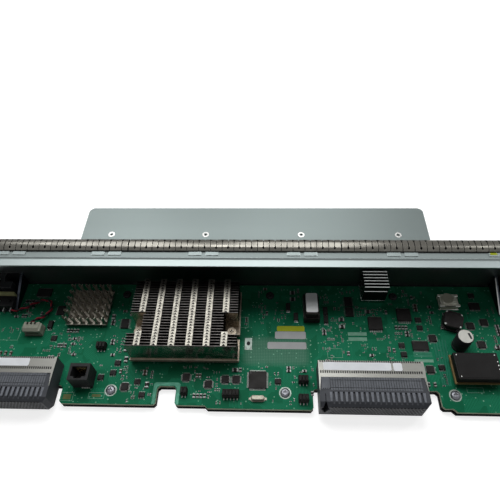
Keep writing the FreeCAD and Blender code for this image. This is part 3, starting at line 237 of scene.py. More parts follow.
# Circuit board: a thick glass-epoxy laminate under green solder mask, with copper tracks and tinned vias
# showing through the mask, and a pale sawn edge where the laminate is bare.
def board_mask():
    """Mask over tracks and vias on the flat of the board, bare laminate on its edges; all sizes in mm."""
    material, tree, shader = new_material("green_board")
    place = shader_node(tree, "TexCoord").outputs["Object"]
    place_mm = shader_node(tree, "VectorMath", {0: place, "Scale": 1 / MM}, operation="SCALE").outputs[0]
    across = shader_node(tree, "SeparateXYZ", {0: place_mm}).outputs

    def fraction(value, period):
        return maths(tree, "FRACT", maths(tree, "DIVIDE", value, period))

    def below(value, limit):
        return maths(tree, "LESS_THAN", value, limit)

    def above(value, limit):
        return maths(tree, "GREATER_THAN", value, limit)

    def both(first, second):
        return maths(tree, "MULTIPLY", first, second)

    def soft_zone(low, high, fade):
        """1 inside a rectangle of the board, fading out at its borders."""
        inside = 1.0
        for axis, start, end in (("X", low[0], high[0]), ("Y", low[1], high[1])):
            inside = both(remapped(tree, across[axis], start - fade, start + fade), inside)
            inside = both(remapped(tree, across[axis], end + fade, end - fade), inside)
        return inside

    # Patches of parallel tracks, each patch running along, across or aslant, and some patches bare
    patch_size = 11.0
    patch_inputs = {"Vector": place_mm, "Scale": 1 / patch_size}
    patch = shader_node(tree, "TexVoronoi", patch_inputs, distance="CHEBYCHEV").outputs["Color"]
    chance = shader_node(tree, "SeparateColor", {0: patch}).outputs
    along_x = below(fraction(across["Y"], 0.9), 0.42)
    along_y = below(fraction(across["X"], 1.1), 0.42)
    slant = below(fraction(maths(tree, "ADD", across["X"], across["Y"]), 1.4), 0.4)
    straight = shader_node(tree, "Mix", {0: above(chance[0], 0.5), 2: along_x, 3: along_y}).outputs[0]
    any_way = shader_node(tree, "Mix", {0: above(chance[2], 0.86), 2: straight, 3: slant}).outputs[0]
    tracks = both(any_way, below(chance[1], 0.6))
    # Vias: tinned rings with a dark bore, in close rows in the field beside the main heat sink, where the
    # mask is also tinted paler as a painted reflection
    via_pitch = 3.0
    via_inputs = {"Vector": place_mm, "Scale": 1 / via_pitch, "Randomness": 0.9}
    via = shader_node(tree, "TexVoronoi", via_inputs).outputs
    via_chance = shader_node(tree, "SeparateColor", {0: via["Color"]}).outputs[0]
    via_radius = both(via["Distance"], via_pitch)
    drilled = above(via_chance, 0.55)
    ring = both(below(via_radius, 0.56), drilled)
    bore = both(below(via_radius, 0.17), drilled)
    via_and_reflection_zone = soft_zone((-6.0, -20.0), (44.0, 2.0), 3.0)
    field_pitch = 1.3
    off_centre = [maths(tree, "SUBTRACT", fraction(across[axis], field_pitch), 0.5) for axis in "XY"]
    field_place = shader_node(tree, "CombineXYZ", dict(enumerate(off_centre))).outputs[0]
    field_radius = shader_node(tree, "VectorMath", {0: field_place}, operation="LENGTH").outputs["Value"]
    field_ring = both(below(field_radius, 0.33), via_and_reflection_zone)
    # Colours: mask over laminate, then what shows through it, and the sawn edge
    sizes = {"Cloud Size": 45.0, "Grain Size": 0.9}
    surface = shader_node(tree, "Group", sizes, node_tree=SURFACE_GRAIN).outputs
    dark_mask, light_mask = opaque((0.0062, 0.097, 0.046)), opaque((0.0092, 0.130, 0.064))
    mask = blend_colours(tree, surface["Cloud"], dark_mask, light_mask)
    layers = (
        (tracks, (0.016, 0.182, 0.096)),
        # Pale tint over the via patch: a painted reflection
        (both(via_and_reflection_zone, 0.75), (0.058, 0.150, 0.104)),
        (ring, (0.16, 0.36, 0.25)),
        (field_ring, (0.085, 0.20, 0.135)),
        (bore, (0.008, 0.028, 0.016)),
    )
    for share, colour in layers:
        mask = blend_colours(tree, share, mask, opaque(colour))
    facing = shader_node(tree, "NewGeometry").outputs["Normal"]
    upward = maths(tree, "ABSOLUTE", shader_node(tree, "SeparateXYZ", {0: facing}).outputs["Z"])
    flat = above(upward, 0.5)
    laminate = blend_colours(tree, surface["Grain"], opaque((0.42, 0.46, 0.34)), opaque((0.60, 0.63, 0.48)))
    tree.links.new(blend_colours(tree, flat, laminate, mask), shader.inputs["Base Color"])
    gloss = shader_node(tree, "MapRange", {"Value": flat, "To Min": 0.75, "To Max": 0.30})
    tree.links.new(gloss.outputs[0], shader.inputs["Roughness"])
    raised = both(tracks, flat)
    relief = shader_node(tree, "Bump", {"Strength": 0.25, "Distance": 0.04 * MM, "Height": raised})
    tree.links.new(relief.outputs[0], shader.inputs["Normal"])
    shader.inputs["Specular IOR Level"].default_value = 0.01
    return material


dress(board_mask(), "circuit_board")


# Marks on the board: a tinned border round the guide notch, pale printed patches and outlines, a bundle
# of tracks tinted pale as painted glare, bare patches and a mounting pad with its hole, all as thin as foil,
# and a row of pads heaped with solder.
def box(node):
    """Low and high corner of a CAD node, in millimetres."""
    low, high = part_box(node)
    return low / MM, high / MM


BOARD_TOP = box("circuit_board")[1].z


def slab(bm, low, high, slot=0, bevel=0.0, rows=1):
    """A block between two corners, in millimetres, with its edges rounded over."""
    low = Vector(low)
    high = Vector(high)
    shape = Matrix.Translation((low + high) / 2) @ Matrix.Diagonal((*(high - low), 1.0))
    made = bmesh.ops.create_cube(bm, size=1.0, matrix=shape)["verts"]
    faces = {face for vert in made for face in vert.link_faces}
    if bevel:
        edges = list({edge for vert in made for edge in vert.link_edges})
        rounded = bmesh.ops.bevel(bm, geom=edges, offset=bevel, segments=rows, profile=0.5, affect="EDGES",
                                  clamp_overlap=True)
        faces = {face for face in faces if face.is_valid} | set(rounded["faces"])
    for face in faces:
        face.material_index = slot


def loft(bm, rings, slot=0, caps=True):
    """A closed skin through rings of as many points each."""
    rows = [[bm.verts.new(point) for point in ring] for ring in rings]
    for below, above in zip(rows, rows[1:]):
        for index in range(len(below)):
            following = (index + 1) % len(below)
            face = bm.faces.new((below[index], below[following], above[following], above[index]))
            face.material_index = slot
    if caps:
        bm.faces.new(rows[0][::-1]).material_index = slot
        bm.faces.new(rows[-1]).material_index = slot


def prism(bm, outline, low, high, slot=0):
    """A plan outline raised from one level to another."""
    loft(bm, [[(x, y, level) for x, y in outline] for level in (low, high)], slot)


def piece(name, bm, finishes, body="card", replaces=(), smooth_below=None):
    """Turns a mesh in millimetres into a piece of the card that rides on a body."""
    bmesh.ops.scale(bm, vec=(MM, MM, MM), verts=bm.verts)
    bmesh.ops.recalc_face_normals(bm, faces=bm.faces)
    if smooth_below is not None:
        limit = math.radians(smooth_below)
        for face in bm.faces:
            face.smooth = True
        for edge in bm.edges:
            edge.smooth = edge.calc_face_angle(math.pi) < limit
    mesh = bpy.data.meshes.new(name)
    bm.to_mesh(mesh)
    bm.free()
    for material in finishes:
        mesh.materials.append(material)
    made = bpy.data.objects.new(name, mesh)
    scene.collection.objects.link(made)
    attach(made, body)
    if replaces:
        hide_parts(*replaces)
    return made


tinned_border = finish("tinned_border", (0.046, 0.158, 0.108), 0.42, metallic=0.4, cloud=6.0, grain=0.4)
solder = finish("solder", (0.50, 0.52, 0.50), 0.36, metallic=0.8, cloud=1.5, grain=0.25, bump=0.3)
board_ink = finish("board_ink", (0.16, 0.33, 0.24), 0.6, cloud=3.0, grain=0.3)
bare_laminate = finish("bare_laminate", (0.11, 0.13, 0.05), 0.5, cloud=3.0, grain=0.3)
# Tracks tinted paler than the mask: painted glare
glare_tinted_tracks = finish("glare_tinted_tracks", (0.020, 0.165, 0.10), 0.42, cloud=8.0, grain=0.4, gloss=0.05)
pad_tin = finish("pad_tin", (0.25, 0.30, 0.27), 0.45, metallic=0.4, cloud=3.0, grain=0.4)
FOIL = 0.05
FOIL_TOP = BOARD_TOP + FOIL
NOTCH_X = (-72.7, -58.1)
NOTCH_Y = -39.4
EDGE_Y = -53.6
BORDER = 3.0
BORDER_INSIDE = 0.5
INNER_CUT = 1.3
OUTER_CUT = 1.6
left, right = NOTCH_X
outer_left, outer_right = left - BORDER, right + BORDER
inner_left, inner_right = left - BORDER_INSIDE, right + BORDER_INSIDE
bm = bmesh.new()
prism(bm, [
    (outer_left, EDGE_Y), (inner_left, EDGE_Y), (inner_left, NOTCH_Y - INNER_CUT),
    (left + INNER_CUT, NOTCH_Y + BORDER_INSIDE), (right - INNER_CUT, NOTCH_Y + BORDER_INSIDE),
    (inner_right, NOTCH_Y - INNER_CUT), (inner_right, EDGE_Y), (outer_right, EDGE_Y),
    (outer_right, NOTCH_Y + OUTER_CUT), (outer_right - OUTER_CUT, NOTCH_Y + BORDER),
    (outer_left + OUTER_CUT, NOTCH_Y + BORDER), (outer_left, NOTCH_Y + OUTER_CUT),
], BOARD_TOP, FOIL_TOP)
piece("notch_border", bm, [tinned_border])


def flat_mark(bm, low, high, slot=0):
    """A thin patch on the board between two corners in plan."""
    slab(bm, (*low, BOARD_TOP), (*high, FOIL_TOP), slot)


def drawn_box(bm, low, high, line):
    """The outline of a rectangle on the board."""
    flat_mark(bm, low, (high[0], low[1] + line))
    flat_mark(bm, (low[0], high[1] - line), high)
    flat_mark(bm, (low[0], low[1] + line), (low[0] + line, high[1] - line))
    flat_mark(bm, (high[0] - line, low[1] + line), (high[0], high[1] - line))


# Low and high corner in plan of what is printed
PRINTED_PATCHES = (((78.0, 5.7), (93.2, 8.7)), ((78.0, 1.0), (93.0, 4.2)), ((128.0, -16.9), (142.6, -14.4)))
PRINTED_OUTLINES = (
    ((162.5, -41.0), (175.0, -36.8)), ((-146.4, -52.2), (-136.8, -45.4)), ((-125.2, -50.2), (-112.8, -45.2)),
    ((-14.4, 12.0), (-4.0, 22.0)), ((60.0, -14.0), (72.0, -6.0)),
)
PRINTED_LINES = (((-211.0, -2.0), (-196.0, -1.7)), ((-196.3, -1.7), (-196.0, 13.0)))
PRINT_LINE = 0.3
TINNED_LINES = 4
TINNED_LINE_LOW = (128.0, -12.4)
TINNED_LINE_END = 142.6
TINNED_LINE_PITCH = 1.2
TINNED_LINE_WIDTH = 0.5
# A bundle of tracks whose pale tint is painted glare
# Both edges of the first track at its near and far end; the others fan out from it
TRACKS = 5
TRACK_NEAR = (145.2, 146.3)
TRACK_FAR = (146.6, 145.3)
TRACK_Y = (-36.0, 3.0)
TRACK_STEP = 2.4
TRACK_FAN = 0.6
bm = bmesh.new()
for low, high in PRINTED_PATCHES:
    flat_mark(bm, low, high)
for low, high in PRINTED_OUTLINES:
    drawn_box(bm, low, high, PRINT_LINE)
for low, high in PRINTED_LINES:
    flat_mark(bm, low, high)
for index in range(TINNED_LINES):
    y = TINNED_LINE_LOW[1] + index * TINNED_LINE_PITCH
    flat_mark(bm, (TINNED_LINE_LOW[0], y), (TINNED_LINE_END, y + TINNED_LINE_WIDTH), 1)
for index in range(TRACKS):
    far = index * TRACK_STEP
    near = far * TRACK_FAN
    outline = [(x + near, TRACK_Y[0]) for x in TRACK_NEAR]
    outline += [(x + far, TRACK_Y[1]) for x in TRACK_FAR]
    prism(bm, outline, BOARD_TOP, FOIL_TOP, 2)
piece("printed_marks", bm, [board_ink, tinned_border, glare_tinted_tracks])
BARE_PATCHES = (((-144.6, -50.9), (-138.6, -46.9)), ((-122.4, -48.8), (-115.6, -46.6)))
SOLDERED_PADS = 5
SOLDERED_PLACE = (-131.6, -42.3)
SOLDERED_SIZE = (0.9, 0.7, 0.9)
SOLDERED_PITCH = 1.4
MOUNTING_PAD = ((-6.4, -8.0), (-0.6, 2.4))
HOLE_CENTRE = (-3.5, -2.4)
HOLE_REACH = (1.5, 1.8)
HOLE_SIDES = 16
bm = bmesh.new()
for low, high in BARE_PATCHES:
    flat_mark(bm, low, high, 1)
for index in range(SOLDERED_PADS):
    low = Vector((SOLDERED_PLACE[0] + index * SOLDERED_PITCH, SOLDERED_PLACE[1], BOARD_TOP))
    slab(bm, low, low + Vector(SOLDERED_SIZE), 0, 0.1)
(left, near), (right, far) = MOUNTING_PAD
prism(bm, [(left, near), (right, near), (right, far), (left, far)], BOARD_TOP, FOIL_TOP, 2)
hole = []
for step in range(HOLE_SIDES):
    angle = math.tau * step / HOLE_SIDES
    x = HOLE_CENTRE[0] + HOLE_REACH[0] * math.cos(angle)
    y = HOLE_CENTRE[1] + HOLE_REACH[1] * math.sin(angle)
    hole.append((x, y))
prism(bm, hole, FOIL_TOP, FOIL_TOP + 0.02, 3)
piece("bare_pads", bm, [solder, bare_laminate, pad_tin, black_coat])


# Board screws: pan-head steel screws with a cross recess, through the board into the standoffs. Those of
# the near row are plated and sit on tinned lands; those of the far row, under the flange, are black as
# painted shade.
def turned(bm, profile, centre, slot=0, sides=32, hollow=False):
    """A turned piece: rings of radius, height and, for a cross recess, the share that its flanks draw in."""
    rings = []
    for radius, height, *lobed in profile:
        flank = lobed[0] if lobed else 0.0
        ring = []
        for step in range(sides):
            angle = math.tau * step / sides
            reach = radius * (1.0 - flank * math.sin(2 * angle) ** 2)
            ring.append(centre + Vector((reach * math.cos(angle), reach * math.sin(angle), height)))
        rings.append(ring)
    if hollow:
        rings.append(rings[0])
    loft(bm, rings, slot, caps=not hollow)


def islands(node):
    """The separate blocks of a CAD node, each as its low and high corner in millimetres."""
    bm = bmesh.new()
    bm.from_mesh(nodes[node].data)
    bmesh.ops.remove_doubles(bm, verts=bm.verts, dist=0.001 * MM)
    unseen = set(bm.verts)
    found = []
    while unseen:
        walk = [unseen.pop()]
        reached = []
        while walk:
            vert = walk.pop()
            reached.append(vert.co / MM)
            for edge in vert.link_edges:
                other = edge.other_vert(vert)
                if other in unseen:
                    unseen.remove(other)
                    walk.append(other)
        low = Vector([min(point[axis] for point in reached) for axis in range(3)])
        high = Vector([max(point[axis] for point in reached) for axis in range(3)])
        found.append((low, high))
    bm.free()
    return sorted(found, key=lambda corners: (round(corners[0].x, 2), round(corners[0].y, 2)))


def on_axis(low, high, level):
    """The middle of a box in plan, at a level."""
    return Vector(((low.x + high.x) / 2, (low.y + high.y) / 2, level))


screw_zinc = finish("screw_zinc", (0.12, 0.124, 0.137), 0.30, metallic=1.0, cloud=4.0, grain=0.3,
                    edge=(0.4, 0.4, 0.42), edge_reach=0.2)
SCREW_HEAD = [(3.6, 0.0), (3.6, 0.6), (3.35, 1.15), (2.7, 1.6), (1.95, 1.8), (1.85, 1.8, 0.55),
              (1.35, 0.8, 0.55), (0.2, 0.6)]
SCREW_LAND = [(4.7, 0.0), (4.7, FOIL), (2.4, FOIL), (2.4, 0.0)]
SCREW_SIDES = 40
bm = bmesh.new()
for low, high in islands("board_screws"):
    seat = on_axis(low, high, BOARD_TOP)
    near_row = seat.y < 0
    if near_row:
        turned(bm, SCREW_LAND, seat, 1, SCREW_SIDES, hollow=True)
    # Far-row heads take the black finish: painted shade
    turned(bm, SCREW_HEAD, seat, 0 if near_row else 2, SCREW_SIDES)
piece("board_screw_heads", bm, [screw_zinc, pad_tin, black_coat], replaces=["board_screws"],
      smooth_below=35)


# Faceplate and shelf plate: zinc-plated sheet folded on a press brake, brushed along the card. The flange
# is duller than the wall, its lip and embossed pads are paler in colour as a painted highlight, and a black
# sill closes each lever window below. The shelf plate carries four clinch nuts, pressed in so that a ring
# shows round each hole.
zinc_sheet = finish("zinc_sheet", (0.138, 0.160, 0.158), 0.36, metallic=1.0, shade=0.80, cloud=70.0,
                    stretch=(0.12, 1.0, 1.0), bump=0.10, spread=0.05, edge=(0.55, 0.6, 0.6), edge_reach=0.5)
shelf_zinc = finish("shelf_zinc", (0.103, 0.121, 0.119), 0.44, metallic=1.0, shade=0.86, cloud=90.0,
                    stretch=(0.12, 1.0, 1.0), bump=0.10, spread=0.05, edge=(0.45, 0.5, 0.5), edge_reach=0.5)
FLANGE_FLOOR = 58.2
JOGGLE_Y = 44.5
PAD_FLOOR = 60.3
PAD_PAINTED_SHEEN = 0.45
FLANGE_DULLING = 0.18
LIP_GLOSS = -0.10
LIP_HIGHLIGHT_ZINC = (0.200, 0.230, 0.228)
tree = zinc_sheet.node_tree
shader = tree.nodes["Principled BSDF"]
place = shader_node(tree, "SeparateXYZ", {0: shader_node(tree, "TexCoord").outputs["Object"]}).outputs
on_flange = maths(tree, "GREATER_THAN", place["Z"], FLANGE_FLOOR * MM)
on_lip = maths(tree, "MULTIPLY", on_flange, maths(tree, "LESS_THAN", place["Y"], JOGGLE_Y * MM))
on_pad = maths(tree, "GREATER_THAN", place["Z"], PAD_FLOOR * MM)
# Lip and pads take a paler zinc colour: a painted highlight
bright = maths(tree, "MAXIMUM", on_lip, maths(tree, "MULTIPLY", on_pad, PAD_PAINTED_SHEEN))
sheet_tone = shader.inputs["Base Color"].links[0].from_socket
sheet_roughness = shader.inputs["Roughness"].links[0].from_socket
tree.links.new(blend_colours(tree, bright, sheet_tone, opaque(LIP_HIGHLIGHT_ZINC)), shader.inputs["Base Color"])
dulled = maths(tree, "MULTIPLY_ADD", on_flange, FLANGE_DULLING, sheet_roughness)
tree.links.new(maths(tree, "MULTIPLY_ADD", bright, LIP_GLOSS, dulled), shader.inputs["Roughness"])
dress(zinc_sheet, "faceplate")
dress(shelf_zinc, "shelf_plate")
SILLS_X = ((-249.6, -208.4), (208.4, 249.6))
SILL_Y = (56.1, 57.4)
SILL_Z = (0.2, 8.8)
bm = bmesh.new()
for start, end in SILLS_X:
    slab(bm, (start, SILL_Y[0], SILL_Z[0]), (end, SILL_Y[1], SILL_Z[1]), 0, 0.2)
piece("window_sills", bm, [black_coat])
SHELF_TOP = box("shelf_plate")[1].z
NUT_PITCH = 78.3
NUT_Y = 69.0
NUT_SIDES = 36
NUT_RING = [(1.2, -4.0), (3.0, -4.0), (3.0, -1.25), (2.75, -1.25), (2.75, 0.0), (2.6, 0.16), (1.55, 0.16),
            (1.2, -0.15)]
bm = bmesh.new()
for step in (-1.5, -0.5, 0.5, 1.5):
    turned(bm, NUT_RING, Vector((step * NUT_PITCH, NUT_Y, SHELF_TOP)), 0, NUT_SIDES, hollow=True)
piece("clinch_nuts", bm, [plated_steel], smooth_below=35)


# Finger gasket: bright beryllium-copper spring strip arched over the faceplate's top edge, slit in turn
# from either side, each slit ending in a round hole. It is laid in three lengths with small breaks, over a
# dark bed that shows in the slits, and a black strip along its near foot paints the shadow in the gap
# between gasket and flange.
spring_strip = finish("spring_strip", (0.118, 0.114, 0.101), 0.20, metallic=1.0, shade=0.72, cloud=9.0,
                      grain=0.4, stretch=(1.0, 0.2, 0.2), bump=0.06, edge=(0.55, 0.53, 0.46),
                      edge_reach=0.25)
gasket_low, gasket_high = box("emi_gasket")
gasket_width = gasket_high.y - gasket_low.y
FINGER_PITCH = 4.75
SLIT_HALF = 0.34
SLIT_END = 0.70
HOLE_RADIUS = 0.95
GASKET_GAUGE = 0.3
STRIP_ENDS = ((gasket_low.x, -100.6), (-99.4, 69.5), (70.7, gasket_high.x))
ARCH_STEPS = 22
# Near and far edge and height of the bed and of the black strip of painted shadow at the near foot
GASKET_BED = (gasket_low.y + GASKET_GAUGE, gasket_high.y - GASKET_GAUGE, 0.25)
GASKET_FOOT_SHADOW = (gasket_low.y - 0.4, gasket_low.y - 0.05, 0.35)


def slit_opening(share, from_near):
    """Half width of a slit at a share of the way across the strip, round at its blind end."""
    along = share if from_near else 1.0 - share
    before_end = (SLIT_END - along) * gasket_width
    if before_end < -HOLE_RADIUS:
        return 0.0
    bulge = math.sqrt(max(0.0, HOLE_RADIUS ** 2 - before_end ** 2))
    return max(SLIT_HALF if before_end > 0 else 0.0, bulge)


def arch_point(share, inset):
    """The strip's arch: steep at its feet, broad at its crown."""
    angle = math.pi * share
    half_width = gasket_width / 2 - inset
    height = gasket_high.z - gasket_low.z - inset
    middle = (gasket_high.y + gasket_low.y) / 2
    y = middle - half_width * math.copysign(abs(math.cos(angle)) ** 0.8, math.cos(angle))
    return y, gasket_low.z + height * math.sin(angle) ** 0.7


bm = bmesh.new()
for strip_start, strip_end in STRIP_ENDS:
    count = round((strip_end - strip_start) / FINGER_PITCH)
    pitch = (strip_end - strip_start) / count
    for index in range(count):
        sections = []
        for step in range(ARCH_STEPS + 1):
            share = step / ARCH_STEPS
            left = strip_start + index * pitch
            right = left + pitch
            if index > 0:
                left += slit_opening(share, index % 2 == 0)
            if index < count - 1:
                right -= slit_opening(share, index % 2 == 1)
            outer = arch_point(share, 0.0)
            inner = arch_point(share, GASKET_GAUGE)
            sections.append([(left, *outer), (right, *outer), (right, *inner), (left, *inner)])
        loft(bm, sections)
for near, far, rise in (GASKET_BED, GASKET_FOOT_SHADOW):
    slab(bm, (gasket_low.x, near, gasket_low.z), (gasket_high.x, far, gasket_low.z + rise), 1)
piece("finger_gasket", bm, [spring_strip, black_coat], replaces=["emi_gasket"],
      smooth_below=40)


# Backplane connectors: a black moulded housing with a slotted nose, thin wafers with the contacts,
# and a tinned shield folded over the rear, with a row of small windows and a toothed rear edge.
connector_black = finish("connector_black", (0.060, 0.064, 0.073), 0.42, shade=0.8, cloud=12.0, grain=0.25,
                         bump=0.2, edge=(0.06, 0.062, 0.07), edge_reach=0.25)
wafer_grey = finish("wafer_grey", (0.125, 0.134, 0.150), 0.45, shade=0.8, cloud=5.0, grain=0.25, bump=0.2,
                    edge=(0.17, 0.17, 0.18), edge_reach=0.2)
# Lighter grey of the guide cover, also the painted highlight on the nose's tongues
cover_grey_and_tongue_highlight = finish("cover_grey_and_tongue_highlight", (0.175, 0.187, 0.212), 0.45, shade=0.7, cloud=2.0, grain=0.25, bump=0.2)
contact_black = finish("contact_black", (0.006, 0.006, 0.007), 0.6, cloud=2.0, grain=0.3)
shield_tin = finish("shield_tin", (0.142, 0.142, 0.131), 0.34, metallic=1.0, shade=0.84, cloud=30.0,
                    grain=0.4, stretch=(0.25, 1.0, 1.0), bump=0.10)
SHEET = 0.5
WINDOW_ROW = (-33.6, -31.5)
WINDOW_START = 1.2
WINDOW_END = 0.8
WINDOW_PITCH = 1.65
WINDOW_WIDTH = 1.0
TOOTH_DEPTH = 1.5
WAFER_PITCH = 1.85
WAFER_WIDTH = 1.5
BEAM_PITCH = 3.7
BEAMS = 18
BEAM_TIP = 0.6
BEAM_ROOT = 0.95
OPENING_ROWS = 6
OPENING_PITCH = 2.45
OPENING_HALF = 0.75
OPENING_HEIGHT = 1.6


def perforated(bm, x_breaks, y_breaks, is_open, low, high, slot=0):
    """A sheet between two levels on a grid of breaks, without the cells that are open."""
    verts = {}

    def vert(corner, level):
        key = (*corner, level)
        if key not in verts:
            verts[key] = bm.verts.new((x_breaks[corner[0]], y_breaks[corner[1]], level))
        return verts[key]

    def solid(i, j):
        inside = 0 <= i < len(x_breaks) - 1 and 0 <= j < len(y_breaks) - 1
        return inside and not is_open(i, j)

    for i in range(len(x_breaks) - 1):
        for j in range(len(y_breaks) - 1):
            if not solid(i, j):
                continue
            ring = [(i, j), (i + 1, j), (i + 1, j + 1), (i, j + 1)]
            quads = [[vert(corner, high) for corner in ring], [vert(corner, low) for corner in ring[::-1]]]
            for index, (beside, ahead) in enumerate(((0, -1), (1, 0), (0, 1), (-1, 0))):
                if not solid(i + beside, j + ahead):
                    start = ring[index]
                    end = ring[(index + 1) % 4]
                    quads.append([vert(start, low), vert(end, low), vert(end, high), vert(start, high)])
            for quad in quads:
                bm.faces.new(quad).material_index = slot


for side in ("left", "right"):
    low, high = box(f"{side}_connector_shield")
    wafers_low, wafers_high = box(f"{side}_connector_wafers")
    nose_low, nose_high = box(f"{side}_connector_housing")
    sheet_low = high.z - SHEET
    x_breaks = [low.x]
    windows = set()
    column = low.x + WINDOW_START
    while column + WINDOW_WIDTH < high.x - WINDOW_END:
        windows.add(len(x_breaks))
        x_breaks += [column, column + WINDOW_WIDTH]
        column += WINDOW_PITCH
    x_breaks.append(high.x)
    y_breaks = [low.y, *WINDOW_ROW, high.y - TOOTH_DEPTH, high.y]
    bm = bmesh.new()
    perforated(bm, x_breaks, y_breaks, lambda i, j: i in windows and j in (1, 3), sheet_low, high.z)
    slab(bm, (low.x, high.y - SHEET, low.z), (high.x, high.y, sheet_low))
    # Black strips below the windows and the teeth, painted shade in those openings, and a narrow ear at each
    # end of the sheet
    for near, far in (WINDOW_ROW, (high.y - TOOTH_DEPTH, high.y - 0.05)):
        slab(bm, (low.x + 0.4, near + 0.02, sheet_low), (high.x - 0.4, far - 0.02, high.z - SHEET * 0.4), 1)
    ear_end = wafers_low.y - 0.4
    for end, inward in ((low.x, 1), (high.x, -1)):
        ear = [(end, low.y), (end, ear_end), (end + inward * 0.25, ear_end), (end + inward * 1.5, low.y)]
        prism(bm, ear[::inward], sheet_low, high.z - 0.05)
    piece(f"{side}_shield", bm, [shield_tin, contact_black],
          replaces=[f"{side}_connector_shield"])
    # Three runs of each wafer: its rear, its front and how far it lies below the wafers' top
    wafer_runs = ((wafers_high.y, -38.8, 0.0), (-39.1, -44.6, 0.0), (-44.9, wafers_low.y, 0.1))
    bm = bmesh.new()
    for index in range(int((wafers_high.x - wafers_low.x) / WAFER_PITCH)):
        start = wafers_low.x + index * WAFER_PITCH + (WAFER_PITCH - WAFER_WIDTH) / 2
        for rear, front, drop in wafer_runs:
            slab(bm, (start, front, wafers_low.z), (start + WAFER_WIDTH, rear, wafers_high.z - drop), 0, 0.12)
    # Guide module's cover with four dark dots
    cover_low = (low.x + 1.7, wafers_low.y + 0.3, wafers_low.z)
    slab(bm, cover_low, (wafers_low.x - 0.3, wafers_high.y, wafers_high.z), 1, 0.15)
    dot_low, dot_high = wafers_low.y + 0.7, wafers_low.y + 1.6
    for step in range(4):
        x = low.x + 2.6 + step * WAFER_PITCH * 0.8
        slab(bm, (x, dot_low, wafers_high.z - 0.1), (x + 0.8, dot_high, wafers_high.z + 0.02), 2)
    # Tongues between the slots of the nose, thin plates of lighter grey that paint a highlight on them, and
    # the contact openings in its front
    tip, root = nose_low.y + 3.6, wafers_low.y - 1.3
    for beam in range(BEAMS + 1):
        x = wafers_low.x + beam * BEAM_PITCH
        tongue = [(x - BEAM_TIP, tip), (x + BEAM_TIP, tip), (x + BEAM_ROOT, root), (x - BEAM_ROOT, root)]
        prism(bm, tongue, nose_high.z, nose_high.z + 0.08, 1)
    for column in range(int((wafers_high.x - wafers_low.x) / OPENING_PITCH)):
        for row in range(OPENING_ROWS):
            x = wafers_low.x + (column + 0.75 - 0.5 * (row % 2)) * OPENING_PITCH
            z = nose_low.z + 1.4 + row * OPENING_PITCH
            opening_high = (x + OPENING_HALF, nose_low.y + 0.3, z + OPENING_HEIGHT)
            slab(bm, (x - OPENING_HALF, nose_low.y - 0.005, z), opening_high, 2)
    piece(f"{side}_wafers", bm, [wafer_grey, cover_grey_and_tongue_highlight, contact_black],
          replaces=[f"{side}_connector_wafers"])
dress(connector_black, "left_connector_housing", "right_connector_housing")


# Labels on the shields: plain white paper, one stuck on the left shield and two on the right one, behind
# the row of windows.
LABEL_GAUGE = 0.12
LABEL_CUT = 0.8


def cut_corners(low, high, cut):
    """A rectangle in plan with its corners cut off."""
    x0, y0 = low
    x1, y1 = high
    return [(x0 + cut, y0), (x1 - cut, y0), (x1, y0 + cut), (x1, y1 - cut),
            (x1 - cut, y1), (x0 + cut, y1), (x0, y1 - cut), (x0, y0 + cut)]


def label(name, low, high, level, material):
    """A plain sticker with its corners cut, lying on a level."""
    sticker = bmesh.new()
    prism(sticker, cut_corners(low, high, LABEL_CUT), level, level + LABEL_GAUGE)
    piece(name, sticker, [material])


shield_paper = finish("shield_paper", (0.70, 0.72, 0.75), 0.55, shade=0.9, cloud=8.0, grain=0.3, bump=0.15)
SHIELD_TOP = box("right_connector_shield")[1].z
label("left_shield_label", (-218.0, -31.2), (-171.0, -24.9), SHIELD_TOP, shield_paper)
label("right_shield_label", (54.0, -31.2), (104.5, -25.0), SHIELD_TOP, shield_paper)
label("small_shield_label", (106.0, -31.4), (112.5, -25.0), SHIELD_TOP, shield_paper)


# Main heat sink: stamped aluminium zipper fins, soldered to a plated base and locked edge to edge by tabs
# folded over at their tops, each with a V-shaped lock in its near edge. Shorter fins leave a pocket for a
# spring screw at each side.
tab_metal = finish("tab_metal", (0.170, 0.163, 0.142), 0.32, metallic=1.0, shade=0.62, cloud=1.6, grain=0.3,
                   stretch=(1.0, 0.6, 1.0), bump=0.35)
# Near-black fin faces are painted shade between the fins; the lighter rim below their tabs is a painted
# highlight
fin_painted_shade = finish("fin_painted_shade", (0.020, 0.019, 0.018), 0.36, metallic=1.0, shade=0.75, cloud=6.0, grain=0.3,
                   stretch=(0.3, 1.0, 1.0), bump=0.10)
base_plating = finish("base_plating", (0.30, 0.255, 0.20), 0.40, metallic=0.4, shade=0.65, cloud=7.0,
                      grain=0.4, edge=(0.55, 0.53, 0.48), edge_reach=0.5)
front_fin = finish("front_fin", (0.46, 0.44, 0.40), 0.20, metallic=1.0, shade=0.8, cloud=9.0, grain=0.4,
                   bump=0.05)
pocket_metal = finish("pocket_metal", (0.50, 0.43, 0.34), 0.24, metallic=1.0, shade=0.6, cloud=5.0,
                      grain=0.4, bump=0.1)
fin_rim_painted_highlight = finish("fin_rim_painted_highlight", (0.058, 0.054, 0.052), 0.36, metallic=1.0, shade=0.7, cloud=6.0, grain=0.3)
chip_lid = finish("chip_lid", (0.40, 0.41, 0.40), 0.4, metallic=0.6, cloud=10.0)
dress(base_plating, "main_sink_base")
dress(chip_lid, "fabric_chip")
fins_low, fins_high = box("main_sink_fins")
base_low, base_high = box("main_sink_base")
fins_middle = (fins_low.x + fins_high.x) / 2
FIN_COUNT = 25
FIN_PITCH = 2.4
FIN_GAUGE = 0.4
SHORT_FINS = range(5, 12)
SHORT_INSET = 11.6
LONG_INSET = 0.8
RIM_DEPTH = 1.5
TAB_COLUMNS = (-2.5, -1.5, -0.5, 0.5, 1.5, 2.5)
TAB_PITCH = 13.2
TAB_HALF = 2.45
LOCK_HALF = 1.5
LOCK_DEPTH = 1.9
